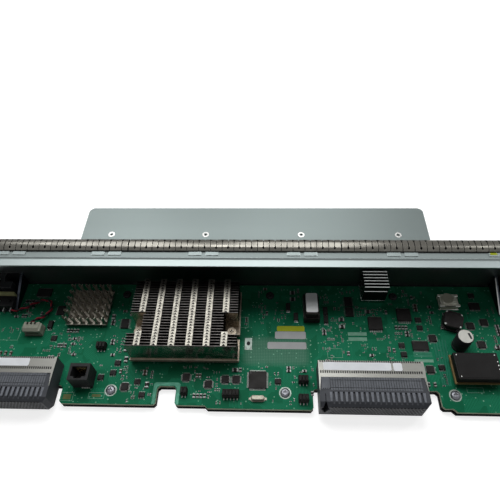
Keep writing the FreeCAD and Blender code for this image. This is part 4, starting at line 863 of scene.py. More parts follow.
# Finish of the two fins whose near face is open to view: the first one and the one behind the pockets
OPEN_FACES = {0: 2, SHORT_FINS[-1] + 1: 4}
rim_low = fins_high.z - RIM_DEPTH
tab_low = fins_high.z - FIN_GAUGE
bm = bmesh.new()
for index in range(FIN_COUNT):
    near = fins_low.y + index * FIN_PITCH
    far = near + FIN_PITCH - 0.05
    inset = SHORT_INSET if index in SHORT_FINS else LONG_INSET
    fin_start, fin_end = base_low.x + inset, base_high.x - inset
    # Each fin: a face in painted shade, then a rim in painted highlight below its tab
    slab(bm, (fin_start, near, base_high.z), (fin_end, near + FIN_GAUGE, rim_low), OPEN_FACES.get(index, 0))
    slab(bm, (fin_start, near, rim_low), (fin_end, near + FIN_GAUGE, tab_low), 3)
    for column in TAB_COLUMNS:
        if abs(column) > 2 and index in SHORT_FINS:
            continue
        x = fins_middle + column * TAB_PITCH
        prism(bm, [
            (x - TAB_HALF, near), (x - LOCK_HALF, near), (x, near + LOCK_DEPTH), (x + LOCK_HALF, near),
            (x + TAB_HALF, near), (x + TAB_HALF, far), (x - TAB_HALF, far),
        ], tab_low, fins_high.z, 1)
        if index:
            lock = [(x - LOCK_HALF, near), (x + LOCK_HALF, near), (x, near + LOCK_DEPTH - 0.3)]
            prism(bm, lock, tab_low, fins_high.z - FIN_GAUGE / 2, 0)
piece("zipper_fins", bm, [fin_painted_shade, tab_metal, front_fin, fin_rim_painted_highlight, pocket_metal],
      replaces=["main_sink_fins"])


# Spring screws of the main heat sink: a shouldered screw at each side, with a coiled steel spring that
# presses the base on the chip.
def carried_along(points):
    """Each point of a path with two directions square to it, carried along without twisting."""
    last = len(points) - 1
    ahead = [(points[min(i + 1, last)] - points[max(i - 1, 0)]).normalized() for i in range(last + 1)]
    sideways = ahead[0].orthogonal().normalized()
    carried = []
    for point, direction in zip(points, ahead):
        sideways = (sideways - direction * sideways.dot(direction)).normalized()
        carried.append((point, sideways, direction.cross(sideways)))
    return carried


def tube(bm, points, radius, slot=0, sides=8):
    """A round wire through points."""
    rings = []
    for point, sideways, upward in carried_along(points):
        ring = []
        for step in range(sides):
            angle = math.tau * step / sides
            ring.append(point + (sideways * math.cos(angle) + upward * math.sin(angle)) * radius)
        rings.append(ring)
    loft(bm, rings, slot)


SPRING_TURNS = 4.5
SPRING_STEPS = 20
SPRING_RADIUS = 2.9
SPRING_WIRE = 0.35
HEAD_DEPTH = 2.4
bm = bmesh.new()
for low, high in islands("main_sink_screws"):
    seat = on_axis(low, high, low.z)
    rise = high.z - low.z
    turned(bm, [
        (1.7, 0.0), (1.7, rise - HEAD_DEPTH), (4.0, rise - HEAD_DEPTH), (4.0, rise - 0.5), (3.5, rise),
        (2.0, rise), (1.9, rise, 0.5), (1.4, rise - 1.1, 0.5), (0.2, rise - 1.3),
    ], seat, 0, 36)
    spring_low = base_high.z + SPRING_WIRE
    spring_rise = high.z - HEAD_DEPTH - SPRING_WIRE - spring_low
    coil = []
    for step in range(int(SPRING_TURNS * SPRING_STEPS) + 1):
        angle = math.tau * step / SPRING_STEPS
        share = min(1.0, max(0.0, (angle / math.tau - 0.5) / (SPRING_TURNS - 1.0)))
        level = spring_low + spring_rise * share
        x, y = seat.x + SPRING_RADIUS * math.cos(angle), seat.y + SPRING_RADIUS * math.sin(angle)
        coil.append(Vector((x, y, level)))
    tube(bm, coil, SPRING_WIRE, 1)
piece("sink_spring_screws", bm, [base_plating, spring_strip], replaces=["main_sink_screws"],
      smooth_below=40)


# Pin-fin and finned heat sinks: extruded aluminium, dull with a thin chromate film. The first is cross-cut
# into pins that fork at their tips, the second has round-edged fins, their faces darkened as painted shade,
# and a bright rib across its near one.
pin_metal = finish("pin_metal", (0.22, 0.205, 0.175), 0.38, metallic=1.0, shade=0.72, cloud=5.0, grain=0.35,
                   stretch=(1.0, 1.0, 0.2), bump=0.15, edge=(0.40, 0.38, 0.34), edge_reach=0.35)
grey_extrusion = finish("grey_extrusion", (0.62, 0.65, 0.64), 0.26, metallic=1.0, shade=0.75, cloud=6.0,
                        grain=0.35, stretch=(0.15, 1.0, 1.0), bump=0.15, edge=(0.85, 0.86, 0.85))
package_black = finish("package_black", (0.012, 0.0115, 0.011), 0.46, shade=0.75, cloud=4.0, grain=0.2,
                       bump=0.25, edge=(0.03, 0.029, 0.028), edge_reach=0.2)
low, high = box("pin_sink")
sink_middle = (low + high) / 2
PIN_PITCH = 6.2
PIN_BASE = 2.4
PIN_LINES = (-2.5, -1.5, -0.5, 0.5, 1.5, 2.5)
# Places through a pin's depth and how far its outline draws in there
PIN_SECTIONS = ((-1.0, 0.16), (-0.8, 0.0), (0.8, 0.0), (1.0, 0.16))
root = low.z + PIN_BASE
# Half of a forked pin, from its foot up round the prong to the bottom of the fork
HALF_PIN = ((2.3, root), (1.35, root + 1.0), (0.85, root + 2.6), (0.9, root + 4.4), (1.35, high.z - 3.4),
            (1.8, high.z - 0.3), (1.55, high.z), (0.2, high.z - 2.8))
pin_outline = [*HALF_PIN, *[(-across, level) for across, level in HALF_PIN[::-1]]]
bm = bmesh.new()
slab(bm, (low.x + 0.3, low.y, low.z), (high.x - 0.3, high.y, root), 0, 0.2)
for column in PIN_LINES:
    for line in PIN_LINES:
        x, y = sink_middle.x + column * PIN_PITCH, sink_middle.y + line * PIN_PITCH
        rings = []
        for depth, inset in PIN_SECTIONS:
            ring = []
            for across, level in pin_outline:
                ring.append((x + across - math.copysign(inset, across), y + depth, level))
            rings.append(ring)
        loft(bm, rings)
piece("forked_pin_sink", bm, [pin_metal], replaces=["pin_sink"], smooth_below=30)
low, high = box("finned_sink")
SMALL_FINS = 6
SMALL_BASE = 2.0
SMALL_GAUGE = 1.0
SMALL_HALF = SMALL_GAUGE / 2
ROUND_STEPS = 10
RIB_LEVEL = 15.6
small_pitch = (high.y - low.y - SMALL_GAUGE) / (SMALL_FINS - 1)
fin_foot = low.z + SMALL_BASE
bm = bmesh.new()
slab(bm, low, (high.x, high.y, fin_foot), 0, 0.15)
for index in range(SMALL_FINS):
    middle = low.y + SMALL_HALF + index * small_pitch
    fin_section = [(middle - SMALL_HALF, fin_foot), (middle + SMALL_HALF, fin_foot)]
    for step in range(ROUND_STEPS + 1):
        angle = math.pi * step / ROUND_STEPS
        level = high.z - SMALL_HALF * (1 - math.sin(angle))
        fin_section.append((middle + SMALL_HALF * math.cos(angle), level))
    loft(bm, [[(x, *point) for point in fin_section] for x in (low.x, high.x)])
    # Near-black skins on the fin's two faces: painted shade between the fins
    for side in (-1, 1):
        inner, outer = sorted((middle + side * (SMALL_HALF - 0.05), middle + side * (SMALL_HALF + 0.02)))
        slab(bm, (low.x, inner, fin_foot), (high.x, outer, high.z - SMALL_HALF), 1)
rib_low = low.z + RIB_LEVEL
slab(bm, (low.x + 0.3, low.y - 0.25, rib_low), (high.x - 0.8, low.y + 0.2, rib_low + 0.7), 0, 0.15)
piece("small_finned_sink", bm, [grey_extrusion, fin_painted_shade], replaces=["finned_sink"],
      smooth_below=40)
dress(package_black, "pin_sink_chip", "finned_sink_chip")


# Modular jack: a dark grey moulding with its mouth upwards and gilt contact wires inside. Both keep the
# shape of their solids.
jack_grey = finish("jack_grey", (0.019, 0.020, 0.021), 0.44, shade=0.8, cloud=7.0, grain=0.2, bump=0.2,
                   edge=(0.05, 0.05, 0.05), edge_reach=0.4)
gilt = finish("gilt", (0.78, 0.60, 0.28), 0.28, metallic=1.0, shade=0.85, cloud=1.5, grain=0.2)
dress(jack_grey, "jack_housing")
dress(gilt, "jack_contacts")


# Pin headers: black mouldings with a raised block at each pair of ways, two square gilt post ends flush
# with its top, and tinned feet soldered to the board.
WAY = 2.54
WAY_HALF = 0.95
WAY_RISE = 1.6
POST_HALF = 0.32
bm = bmesh.new()
for low, high in islands("header_mouldings"):
    ways_low = high.z - WAY_RISE
    slab(bm, low, (high.x, high.y, ways_low), 0, 0.2)
    middle = (low.y + high.y) / 2
    for way in range(round((high.x - low.x) / WAY)):
        x = low.x + (way + 0.5) * WAY
        slab(bm, (x - WAY_HALF, low.y + 0.5, ways_low), (x + WAY_HALF, high.y - 0.5, high.z), 0, 0.25)
        for y in (middle - WAY / 2, middle + WAY / 2):
            post_high = (x + POST_HALF, y + POST_HALF, high.z)
            slab(bm, (x - POST_HALF, y - POST_HALF, high.z - 0.3), post_high, 1, 0.1)
piece("header_blocks", bm, [package_black, gilt], replaces=["header_mouldings"])
dress(solder, "header_feet")


# Moulded chips: black epoxy packages with a parting line, drawn-in sides, a polished dimple at pin one
# and tinned gull-wing leads soldered to the board.
PARTING = 0.45
LEAD_GAUGE = 0.15


def moulded(bm, low, high, slot=0, draft=0.16):
    """A package body: widest at its parting line, with its corners cut and a softened rim."""
    waist = low.z + (high.z - low.z) * PARTING
    rim = 0.12
    cut = 0.25
    levels = ((low.z, draft), (waist - 0.05, 0.02), (waist + 0.05, 0.0), (high.z - rim, draft),
              (high.z, draft + rim))
    rings = []
    for level, inset in levels:
        outline = cut_corners((low.x + inset, low.y + inset), (high.x - inset, high.y - inset), cut)
        rings.append([(x, y, level) for x, y in outline])
    loft(bm, rings, slot)


def dimple(bm, low, high, radius, slot):
    """The polished mark at a package's first pin."""
    centre = Vector((low.x + radius * 2.2, high.y - radius * 2.2, high.z))
    turned(bm, [(radius, -0.02), (radius, 0.015), (radius * 0.7, 0.015), (0.02, 0.004)], centre, slot, 16)


def gull_leads(bm, low, high, axis, count, pitch, width, reach, slot):
    """Bent leads along the two sides of a package that face along an axis."""
    shoulder = (high.z - low.z) * PARTING
    path = ((-0.15, shoulder), (reach * 0.3, shoulder), (reach * 0.52, LEAD_GAUGE), (reach, LEAD_GAUGE * 0.6))
    for side in (-1, 1):
        root = high[axis] if side > 0 else low[axis]
        for index in range(count):
            along = (low[1 - axis] + high[1 - axis]) / 2 + (index - (count - 1) / 2) * pitch
            rings = []
            for out, up in path:
                ring = []
                for aside, lift in ((-1, -1), (1, -1), (1, 1), (-1, 1)):
                    point = [0.0, 0.0, low.z + max(up + lift * LEAD_GAUGE / 2, 0.0)]
                    point[axis] = root + side * out
                    point[1 - axis] = along + aside * width / 2
                    ring.append(point)
                rings.append(ring)
            loft(bm, rings, slot)


package_brown = finish("package_brown", (0.017, 0.016, 0.015), 0.48, shade=0.8, cloud=6.0, grain=0.2,
                       bump=0.25, edge=(0.045, 0.043, 0.04), edge_reach=0.2)
chip_tin = finish("chip_tin", (0.15, 0.155, 0.15), 0.38, metallic=1.0, shade=0.8, cloud=1.0, grain=0.2)
dimple_gloss = finish("dimple_gloss", (0.03, 0.029, 0.028), 0.18, cloud=1.0, grain=0.2)
# Lead rows for each body size: axis that the leads point along, count, pitch, width and reach
LEAD_ROWS = {
    (6.4, 9.0): [(0, 7, 1.27, 0.42, 1.3)],
    (9.0, 6.4): [(1, 7, 1.27, 0.42, 1.3)],
    (6.0, 6.0): [(0, 8, 0.65, 0.3, 1.0), (1, 8, 0.65, 0.3, 1.0)],
    (5.0, 4.0): [(1, 4, 1.27, 0.42, 1.0)],
    (13.0, 8.0): [(1, 14, 0.8, 0.34, 1.1)],
    (11.6, 11.6): [(1, 7, 1.5, 0.8, 1.6)],
    (14.0, 14.0): [(0, 25, 0.5, 0.24, 1.2), (1, 25, 0.5, 0.24, 1.2)],
}
for name, node, body_material in (("chip_packages", "small_chips", package_black),
                                  ("quad_flat_package", "quad_flat_chip", package_brown)):
    bm = bmesh.new()
    for low, high in islands(node):
        moulded(bm, low, high)
        dimple(bm, low, high, min(0.7, (high.x - low.x) * 0.08), 2)
        for lead_row in LEAD_ROWS[(round(high.x - low.x, 1), round(high.y - low.y, 1))]:
            gull_leads(bm, low, high, *lead_row, 1)
    piece(name, bm, [body_material, chip_tin, dimple_gloss], replaces=[node])


# Stickers: plain paper labels, one yellow and two white beside the memory chip, and a small yellow one at
# the right end of the flange.
paper_yellow = finish("paper_yellow", (0.30, 0.34, 0.016), 0.55, shade=0.9, cloud=8.0, grain=0.3, bump=0.15)
paper_white = finish("paper_white", (0.34, 0.35, 0.35), 0.55, shade=0.9, cloud=8.0, grain=0.3, bump=0.15)
YELLOW_PLACE = ((19.8, 8.9), (42.6, 13.8))
UPPER_PLACE = ((18.2, 2.0), (43.5, 8.7))
LOWER_PLACE = ((12.0, -7.0), (43.5, -0.9))
label("yellow_label", *YELLOW_PLACE, BOARD_TOP, paper_yellow)
label("flange_label", (184.6, 48.6), (190.4, 50.6), box("faceplate")[1].z, paper_yellow)
label("upper_white_label", *UPPER_PLACE, BOARD_TOP, paper_white)
label("lower_white_label", *LOWER_PLACE, BOARD_TOP, paper_white)


# Passive parts: chip capacitors, chip resistors and small diodes with tinned ends, soldered in short rows
# between the larger packages, with printed ticks beside them. Their places are drawn from a fixed seed.
tan_ceramic = finish("tan_ceramic", (0.060, 0.044, 0.029), 0.45, shade=0.7, cloud=1.2, grain=0.2)
dull_tin = finish("dull_tin", (0.24, 0.255, 0.245), 0.42, metallic=0.5, shade=0.6, cloud=1.5, grain=0.25)
# Length, width, height and body finish of each kind, and its chance
PASSIVES = ((1.6, 0.85, 0.8, 0), (1.6, 0.85, 0.45, 1), (1.0, 0.55, 0.4, 1), (1.0, 0.55, 0.5, 0),
            (3.2, 1.7, 1.4, 0), (3.0, 1.9, 1.1, 1), (4.4, 2.8, 1.5, 1))
PASSIVE_CHANCES = (5, 7, 5, 4, 0.8, 4.5, 1.4)
TIN_END = 2
TICK = 3
TICK_CHANCE = 0.3
TICK_PITCH = 0.62
TICK_GAP = 0.75
TICK_HALF = (0.2, 0.4)
# Corners of each area in plan and the number of rows in it
PASSIVE_AREAS = (
    (-214, -20, -196, 20, 8), (-172, -20, -140, 9, 22), (-122, 8, -99, 46, 12), (-120, -20, -99, 6, 9),
    (-122, -36, -76, -21, 18), (-104, -52, -76, -36, 12), (-56, -52, -16, -22, 34), (-16, -52, 24, -22, 34),
    (24, -52, 49, -20, 20), (-8, 14, 42, 52, 30), (56, -22, 98, 52, 56), (94, -22, 152, 36, 54),
    (112, 34, 153, 52, 14), (130, -38, 152, -20, 9), (176, -10, 202, 50, 22), (190, -50, 205, -12, 8),
    (-205, 20, -160, 48, 12),
)
# Places round the printed patches and the notch that stay clear
PATCH_PLACES = (((78.0, 1.0), (93.2, 8.7)), ((128.0, -16.9), (142.6, -7.4)))
NOTCH_PLACE = ((NOTCH_X[0], -60.0), (NOTCH_X[1], -36.0))
# What stands on the board or close above it has its foot between these levels
LOWEST_FOOT = BOARD_TOP - 1.0
HIGHEST_FOOT = BOARD_TOP + 7.0
EDGE_GAP = 1.7
PART_GAP = 0.3
kept_clear = [
    box("left_connector_housing"), box("right_connector_housing"), MOUNTING_PAD, YELLOW_PLACE, UPPER_PLACE,
    LOWER_PLACE, *PATCH_PLACES, NOTCH_PLACE,
]
for name in nodes:
    low, high = box(name)
    if LOWEST_FOOT <= low.z <= HIGHEST_FOOT and name != "switch_lead":
        kept_clear += islands(name)
taken = []
for low, high in kept_clear:
    taken.append((low[0] - EDGE_GAP, low[1] - EDGE_GAP, high[0] + EDGE_GAP, high[1] + EDGE_GAP))


def free(place):
    """Whether a rectangle in plan meets none that is taken."""
    for other in taken:
        if place[2] >= other[0] and place[0] <= other[2] and place[3] >= other[1] and place[1] <= other[3]:
            return False
    return True


def chip_part(bm, middle, half, axis, height, slot):
    """A small part on the board, with a tinned cap on each end along its axis and a pad under it."""
    part_top = BOARD_TOP + height
    reach, aside = half[axis], half[1 - axis]
    body = [(at - out * 0.95, at + out * 0.95) for at, out in zip(middle, half)]
    slab(bm, (body[0][0], body[1][0], BOARD_TOP), (body[0][1], body[1][1], part_top), slot)
    cap = (reach * 0.55, reach, 0.0, part_top + 0.03)
    pad = (reach * 0.5, reach + 0.28, 0.06, FOIL_TOP)
    for end in (-1, 1):
        for inner, outer, margin, top in (cap, pad):
            low = [0.0, 0.0, BOARD_TOP]
            high = [0.0, 0.0, top]
            low[axis], high[axis] = sorted((middle[axis] + end * inner, middle[axis] + end * outer))
            low[1 - axis] = middle[1 - axis] - aside - margin
            high[1 - axis] = middle[1 - axis] + aside + margin
            slab(bm, low, high, TIN_END)


SEED = 41
ROWS_TRIED = 1.5
draw = random.Random(SEED)
bm = bmesh.new()
for x0, y0, x1, y1, rows in PASSIVE_AREAS:
    for _ in range(int(rows * ROWS_TRIED)):
        length, width, height, slot = draw.choices(PASSIVES, PASSIVE_CHANCES)[0]
        axis = 0 if draw.random() < 0.5 else 1
        in_row = draw.choice((1, 1, 2, 2, 3, 4, 5))
        step = width + draw.choice((0.5, 0.8))
        start_x = draw.uniform(x0, x1)
        start_y = draw.uniform(y0, y1)
        tick_side = draw.choice((-1, 1))
        half = (width / 2, length / 2) if axis else (length / 2, width / 2)
        for index in range(in_row):
            x = start_x + index * step * axis
            y = start_y + index * step * (1 - axis)
            room_x, room_y = half[0] + PART_GAP, half[1] + PART_GAP
            place = (x - room_x, y - room_y, x + room_x, y + room_y)
            if place[2] > x1 or place[3] > y1 or not free(place):
                continue
            taken.append(place)
            chip_part(bm, (x, y), half, axis, height, slot)
            for mark in range(3):
                tick_x = x + (mark - 1) * TICK_PITCH
                tick_y = y + tick_side * (half[1] + TICK_GAP)
                tick = (tick_x - TICK_HALF[0], tick_y - TICK_HALF[1],
                        tick_x + TICK_HALF[0], tick_y + TICK_HALF[1])
                if draw.random() < TICK_CHANCE and free(tick):
                    flat_mark(bm, tick[:2], tick[2:], TICK)
piece("passive_parts", bm, [tan_ceramic, package_black, dull_tin, board_ink])


# Crystal: an oblong can of plated steel, its cover welded to a flanged foot, with a tinned strap at each
# end.
def stadium(low, high, inset, steps=10):
    """A plan outline with round ends, drawn in from a box."""
    radius = (high.y - low.y) / 2 - inset
    middle = (low.y + high.y) / 2
    outline = []
    for centre, start in ((high.x - inset - radius, -90), (low.x + inset + radius, 90)):
        for step in range(steps + 1):
            angle = math.radians(start + 180 * step / steps)
            outline.append((centre + radius * math.cos(angle), middle + radius * math.sin(angle)))
    return outline


crystal_plating = finish("crystal_plating", (0.16, 0.152, 0.125), 0.38, metallic=0.9, shade=0.8, cloud=3.0,
                         grain=0.25, edge=(0.3, 0.285, 0.24), edge_reach=0.3)
low, high = box("crystal_can")
CAN_FOOT = 0.8
CAN_FLANGE = 0.6
CRYSTAL_STRAP_Y = (-49.2, -47.4)
levels = ((low.z, 0.0), (low.z + CAN_FOOT, 0.0), (low.z + CAN_FOOT, CAN_FLANGE), (high.z - 0.5, CAN_FLANGE),
          (high.z, 1.05))
bm = bmesh.new()
loft(bm, [[(x, y, level) for x, y in stadium(low, high, inset)] for level, inset in levels])
for end, away in ((low.x, -1), (high.x, 1)):
    start, stop = sorted((end - away * 0.4, end + away * 1.1))
    slab(bm, (start, CRYSTAL_STRAP_Y[0], low.z), (stop, CRYSTAL_STRAP_Y[1], low.z + 0.5), 1, 0.1)
piece("crystal_case", bm, [crystal_plating, solder], replaces=["crystal_can"],
      smooth_below=35)


# Memory chip in its socket: a black moulded frame with a row of sprung contacts along each long side,
# and the package standing in it under a pale sticker, whiter than the other labels as painted light in the
# flange's shade.
lead_tin = finish("lead_tin", (0.36, 0.37, 0.36), 0.34, metallic=1.0, shade=0.85, cloud=1.0, grain=0.2)
# Whiter paper than the other labels: painted light for a sticker in the flange's shade
paper_painted_light = finish("paper_painted_light", (0.86, 0.88, 0.88), 0.55, shade=0.9, cloud=8.0, grain=0.3, bump=0.15)
low, high = box("memory_socket")
chip_low, chip_high = box("memory_chip")
SOCKET_FLOOR = 2.0
SOCKET_WALL = 1.4
CONTACTS = 14
CONTACT_PITCH = 1.27
CONTACT_HALF = 0.22
CONTACT_GAUGE = 0.12
wall_low = low.z + SOCKET_FLOOR
left, right = low.x + SOCKET_WALL, high.x - SOCKET_WALL
near, far = low.y + SOCKET_WALL, high.y - SOCKET_WALL
bm = bmesh.new()
slab(bm, low, (high.x, high.y, wall_low), 0, 0.2)
for start, end in (((low.x, low.y), (left, high.y)), ((right, low.y), (high.x, high.y)),
                   ((left, low.y), (right, near)), ((left, far), (right, high.y))):
    slab(bm, (*start, wall_low), (*end, high.z), 0, 0.25)
slab(bm, (left, near, wall_low), (right, far, high.z - 0.6))
for side, outward in ((low.x, -CONTACT_GAUGE), (high.x, CONTACT_GAUGE)):
    start, stop = sorted((side, side + outward))
    for index in range(CONTACTS):
        y = (low.y + high.y) / 2 + (index - (CONTACTS - 1) / 2) * CONTACT_PITCH
        slab(bm, (start, y - CONTACT_HALF, low.z), (stop, y + CONTACT_HALF, high.z - 0.8), 1)
piece("memory_frame", bm, [package_black, lead_tin], replaces=["memory_socket"])
bm = bmesh.new()
moulded(bm, chip_low, chip_high, draft=0.2)
piece("memory_package", bm, [package_brown], replaces=["memory_chip"])
label("memory_label", (chip_low.x + 0.4, chip_low.y + 2.2), (chip_high.x - 0.4, chip_high.y - 0.4),
      chip_high.z - LABEL_GAUGE / 2, paper_painted_light)


# Tantalum capacitors: moulded black blocks with a tinned strap folded round each end, soldered to pads
# that reach out beyond the straps.
STRAP = 1.1
bm = bmesh.new()
for low, high in islands("tantalum_capacitors"):
    moulded(bm, low + Vector((0.05, 0.12, 0.0)), high - Vector((0.05, 0.12, 0.0)))
    for start, end in ((low.y, low.y + STRAP), (high.y - STRAP, high.y)):
        slab(bm, (low.x + 0.7, start, low.z), (high.x - 0.7, end, low.z + 1.5), 1, 0.1)
        slab(bm, (low.x + 0.3, start - 0.7, low.z), (high.x - 0.3, end + 0.7, low.z + FOIL), 1)
piece("tantalum_blocks", bm, [package_black, solder], replaces=["tantalum_capacitors"])


# Power inductor: a pressed black ferrite block turned out of line, with a round winding window on top and
# a bright soldered foot at each corner.
ferrite = finish("ferrite", (0.016, 0.014, 0.014), 0.34, shade=0.7, cloud=3.0, grain=0.3, bump=0.35,
                 edge=(0.05, 0.045, 0.045))
low, high = box("power_inductor")
INDUCTOR_HALF = 7.6
INDUCTOR_TURN = math.radians(-18)
GROOVE = 0.5
CORNER_CUT = 3.2
FOOT_HALF = 1.1
turn = Matrix.Translation(on_axis(low, high, 0.0)) @ Matrix.Rotation(INDUCTOR_TURN, 4, "Z")
# Level, half width and corner cut of each section, from the foot up
sections = (
    (low.z, INDUCTOR_HALF, CORNER_CUT), (low.z + 1.6, INDUCTOR_HALF, CORNER_CUT),
    (low.z + 1.9, INDUCTOR_HALF - GROOVE, 3.4), (high.z - 1.9, INDUCTOR_HALF - GROOVE, 3.4),
    (high.z - 1.6, INDUCTOR_HALF, CORNER_CUT), (high.z - 0.5, INDUCTOR_HALF, CORNER_CUT),
    (high.z, INDUCTOR_HALF - 0.6, CORNER_CUT),
)
rings = []
for level, reach, cut in sections:
    outline = cut_corners((-reach, -reach), (reach, reach), cut)
    rings.append([turn @ Vector((x, y, level)) for x, y in outline])
bm = bmesh.new()
loft(bm, rings)
turned(bm, [(4.9, -0.25), (4.9, -0.02), (4.6, 0.0), (4.3, -0.02), (4.2, -0.3)],
       turn @ Vector((0.0, 0.0, high.z)), 0, 40)
for corner_x in (-1, 1):
    for corner_y in (-1, 1):
        foot_reach, tip_reach = INDUCTOR_HALF - 0.9, INDUCTOR_HALF - 1.9
        foot = turn @ Vector((corner_x * foot_reach, corner_y * foot_reach, 0.0))
        foot_high = (foot.x + FOOT_HALF, foot.y + FOOT_HALF, low.z + 1.6)
        slab(bm, (foot.x - FOOT_HALF, foot.y - FOOT_HALF, low.z), foot_high, 1, 0.25)
        tip = turn @ Vector((corner_x * tip_reach, corner_y * tip_reach, high.z))
        turned(bm, [(0.9, -1.2), (0.9, -0.35), (0.5, -0.05)], tip, 1, 14)
piece("inductor_block", bm, [ferrite, solder], replaces=["power_inductor"])


# Capacitor can: drawn aluminium under a black sleeve, crimped above its base, its bare pale top crossed
# by a dark polarity bar.
can_top = finish("can_top", (0.43, 0.43, 0.395), 0.45, metallic=0.2, shade=0.9, cloud=4.0, grain=0.2)
sleeve = finish("sleeve", (0.022, 0.022, 0.024), 0.3, cloud=8.0, grain=0.4, edge=(0.08, 0.08, 0.08),
                edge_reach=0.3)
low, high = box("capacitor_can")
seat = on_axis(low, high, low.z)
can_radius = (high.x - low.x) / 2
can_rise = high.z - low.z
CAN_SIDES = 56
POLARITY_BAR = ((-0.7, -2.6), (0.7, -2.6), (0.9, 2.6), (-0.9, 2.6))
# How far the sleeve lies inside the can's radius at each level, and the bare top below the can's own top
SLEEVE = ((0.3, 0.0), (0.3, 0.6), (0.05, 1.4), (0.05, 2.4), (0.55, 2.9), (0.05, 3.4), (0.05, can_rise - 1.0),
          (0.45, can_rise - 0.25), (0.9, can_rise - 0.1), (0.9, can_rise - 0.3))
bm = bmesh.new()
turned(bm, [(can_radius - inset, level) for inset, level in SLEEVE], seat, 0, CAN_SIDES)
turned(bm, [(can_radius - 0.7, -0.4), (can_radius - 0.7, -0.12), (can_radius - 1.3, -0.03), (0.3, -0.03)],
       seat + Vector((0.0, 0.0, can_rise)), 1, CAN_SIDES)
bar_turn = Matrix.Translation(seat + Vector((3.2, 0.2, 0.0))) @ Matrix.Rotation(math.radians(12), 4, "Z")
bar = [bar_turn @ Vector((x, y, 0.0)) for x, y in POLARITY_BAR]
prism(bm, [(point.x, point.y) for point in bar], high.z - 0.04, high.z, 0)
piece("can_body", bm, [sleeve, can_top], replaces=["capacitor_can"], smooth_below=35)


# Shielded coil: a black body under a narrower tinned plate with a dark line along its middle and a disc of
# tape at its far end, with four tinned tabs round it and a tinned strip at its foot.
def drawn_in(low, high, from_low, from_high):
    """The corners of a box, each moved inwards."""
    moved_low = [at + inset for at, inset in zip(low, from_low)]
    moved_high = [at - inset for at, inset in zip(high, from_high)]
    return moved_low, moved_high


coil_tin = finish("coil_tin", (0.62, 0.62, 0.53), 0.45, metallic=0.3, shade=0.75, cloud=5.0, grain=0.3,
                  edge=(0.55, 0.55, 0.5))
tape = finish("tape", (0.52, 0.51, 0.41), 0.4, shade=0.85, cloud=6.0, grain=0.3)
low, high = box("shielded_coil")
middle = (low.x + high.x) / 2
LINE_HALF = 0.35
TAB_SIZE = (4.0, 2.2)
TAB_LEVELS = (high.z - 2.6, high.z - 1.3)
bm = bmesh.new()
slab(bm, *drawn_in(low, high, (1.4, 0.7, 0.6), (1.4, 0.6, 1.6)), 3, 0.4, 2)
slab(bm, *drawn_in(low, high, (3.6, 2.2, 2.0), (3.6, 1.0, 0.7)), 0, 0.5, 2)
line_high = (middle + LINE_HALF, high.y - 6.4, high.z - 0.66)
slab(bm, (middle - LINE_HALF, low.y + 2.6, high.z - 1.5), line_high, 3)
disc_centre = Vector((middle - 1.0, high.y - 5.4, high.z))
turned(bm, [(4.9, -0.9), (4.9, -0.25), (4.5, 0.0), (0.3, 0.0)], disc_centre, 1, 48)
for x in (low.x + 0.8, high.x - 4.8):
    for y in (low.y + 0.4, high.y - 3.0):
        slab(bm, (x, y, TAB_LEVELS[0]), (x + TAB_SIZE[0], y + TAB_SIZE[1], TAB_LEVELS[1]), 2, 0.2)
slab(bm, (low.x + 1.0, low.y, low.z), (high.x - 1.0, low.y + 0.9, low.z + 0.7), 2, 0.2)
piece("coil_shield", bm, [coil_tin, tape, solder, package_black], replaces=["shielded_coil"],
      smooth_below=30)


# Power module: a small board on pins, its black potted core above with a raised top, and bright pin tips
# near the core's corners and along its right side.
module_black = finish("module_black", (0.0065, 0.006, 0.006), 0.42, shade=0.8, cloud=10.0,
                      bump=0.3, edge=(0.025, 0.025, 0.024), edge_reach=0.3)
module_edge = finish("module_edge", (0.20, 0.14, 0.06), 0.5, shade=0.75, cloud=4.0, grain=0.3,
                     edge=(0.36, 0.27, 0.12))
dress(module_edge, "power_module_board")
dress(solder, "power_module_pins")
low, high = box("power_module_core")
PIN_TIPS = ((2.2, 2.0), (30.8, 2.0), (2.2, 19.4), (30.8, 19.4), (31.6, 8.0), (31.6, 11.0), (31.6, 14.0))
bm = bmesh.new()
slab(bm, low, (high.x, high.y, high.z - 0.25), 0, 0.5, 2)
slab(bm, (low.x + 1.2, low.y + 1.2, high.z - 0.5), (high.x - 1.2, high.y - 1.2, high.z - 0.02), 0, 0.15)
for x, y in PIN_TIPS:
    turned(bm, [(0.55, -0.3), (0.55, -0.08), (0.35, 0.0)], Vector((low.x + x, low.y + y, high.z)), 1, 20)
piece("module_core", bm, [module_black, solder], replaces=["power_module_core"])


# Switch lead: a red and a black wire twisted together, soldered to the switch terminals, looping over the
# board to a cream plug on its header.
LEAD_ROUTE = [
    (-0.2083, 0.0236, 0.0114), (-0.2015, 0.0246, 0.0108), (-0.1955, 0.0282, 0.0102),
    (-0.1904, 0.0322, 0.0099), (-0.1856, 0.0350, 0.0099), (-0.1800, 0.0356, 0.0099),
    (-0.1756, 0.0326, 0.0099), (-0.1743, 0.0272, 0.0099), (-0.1758, 0.0218, 0.0100),
    (-0.1798, 0.0174, 0.0108), (-0.1846, 0.0146, 0.0118), (-0.1879, 0.0104, 0.0128),
]
LEAD_DIAMETER = 0.0021
TWIST_PITCH = 9.0
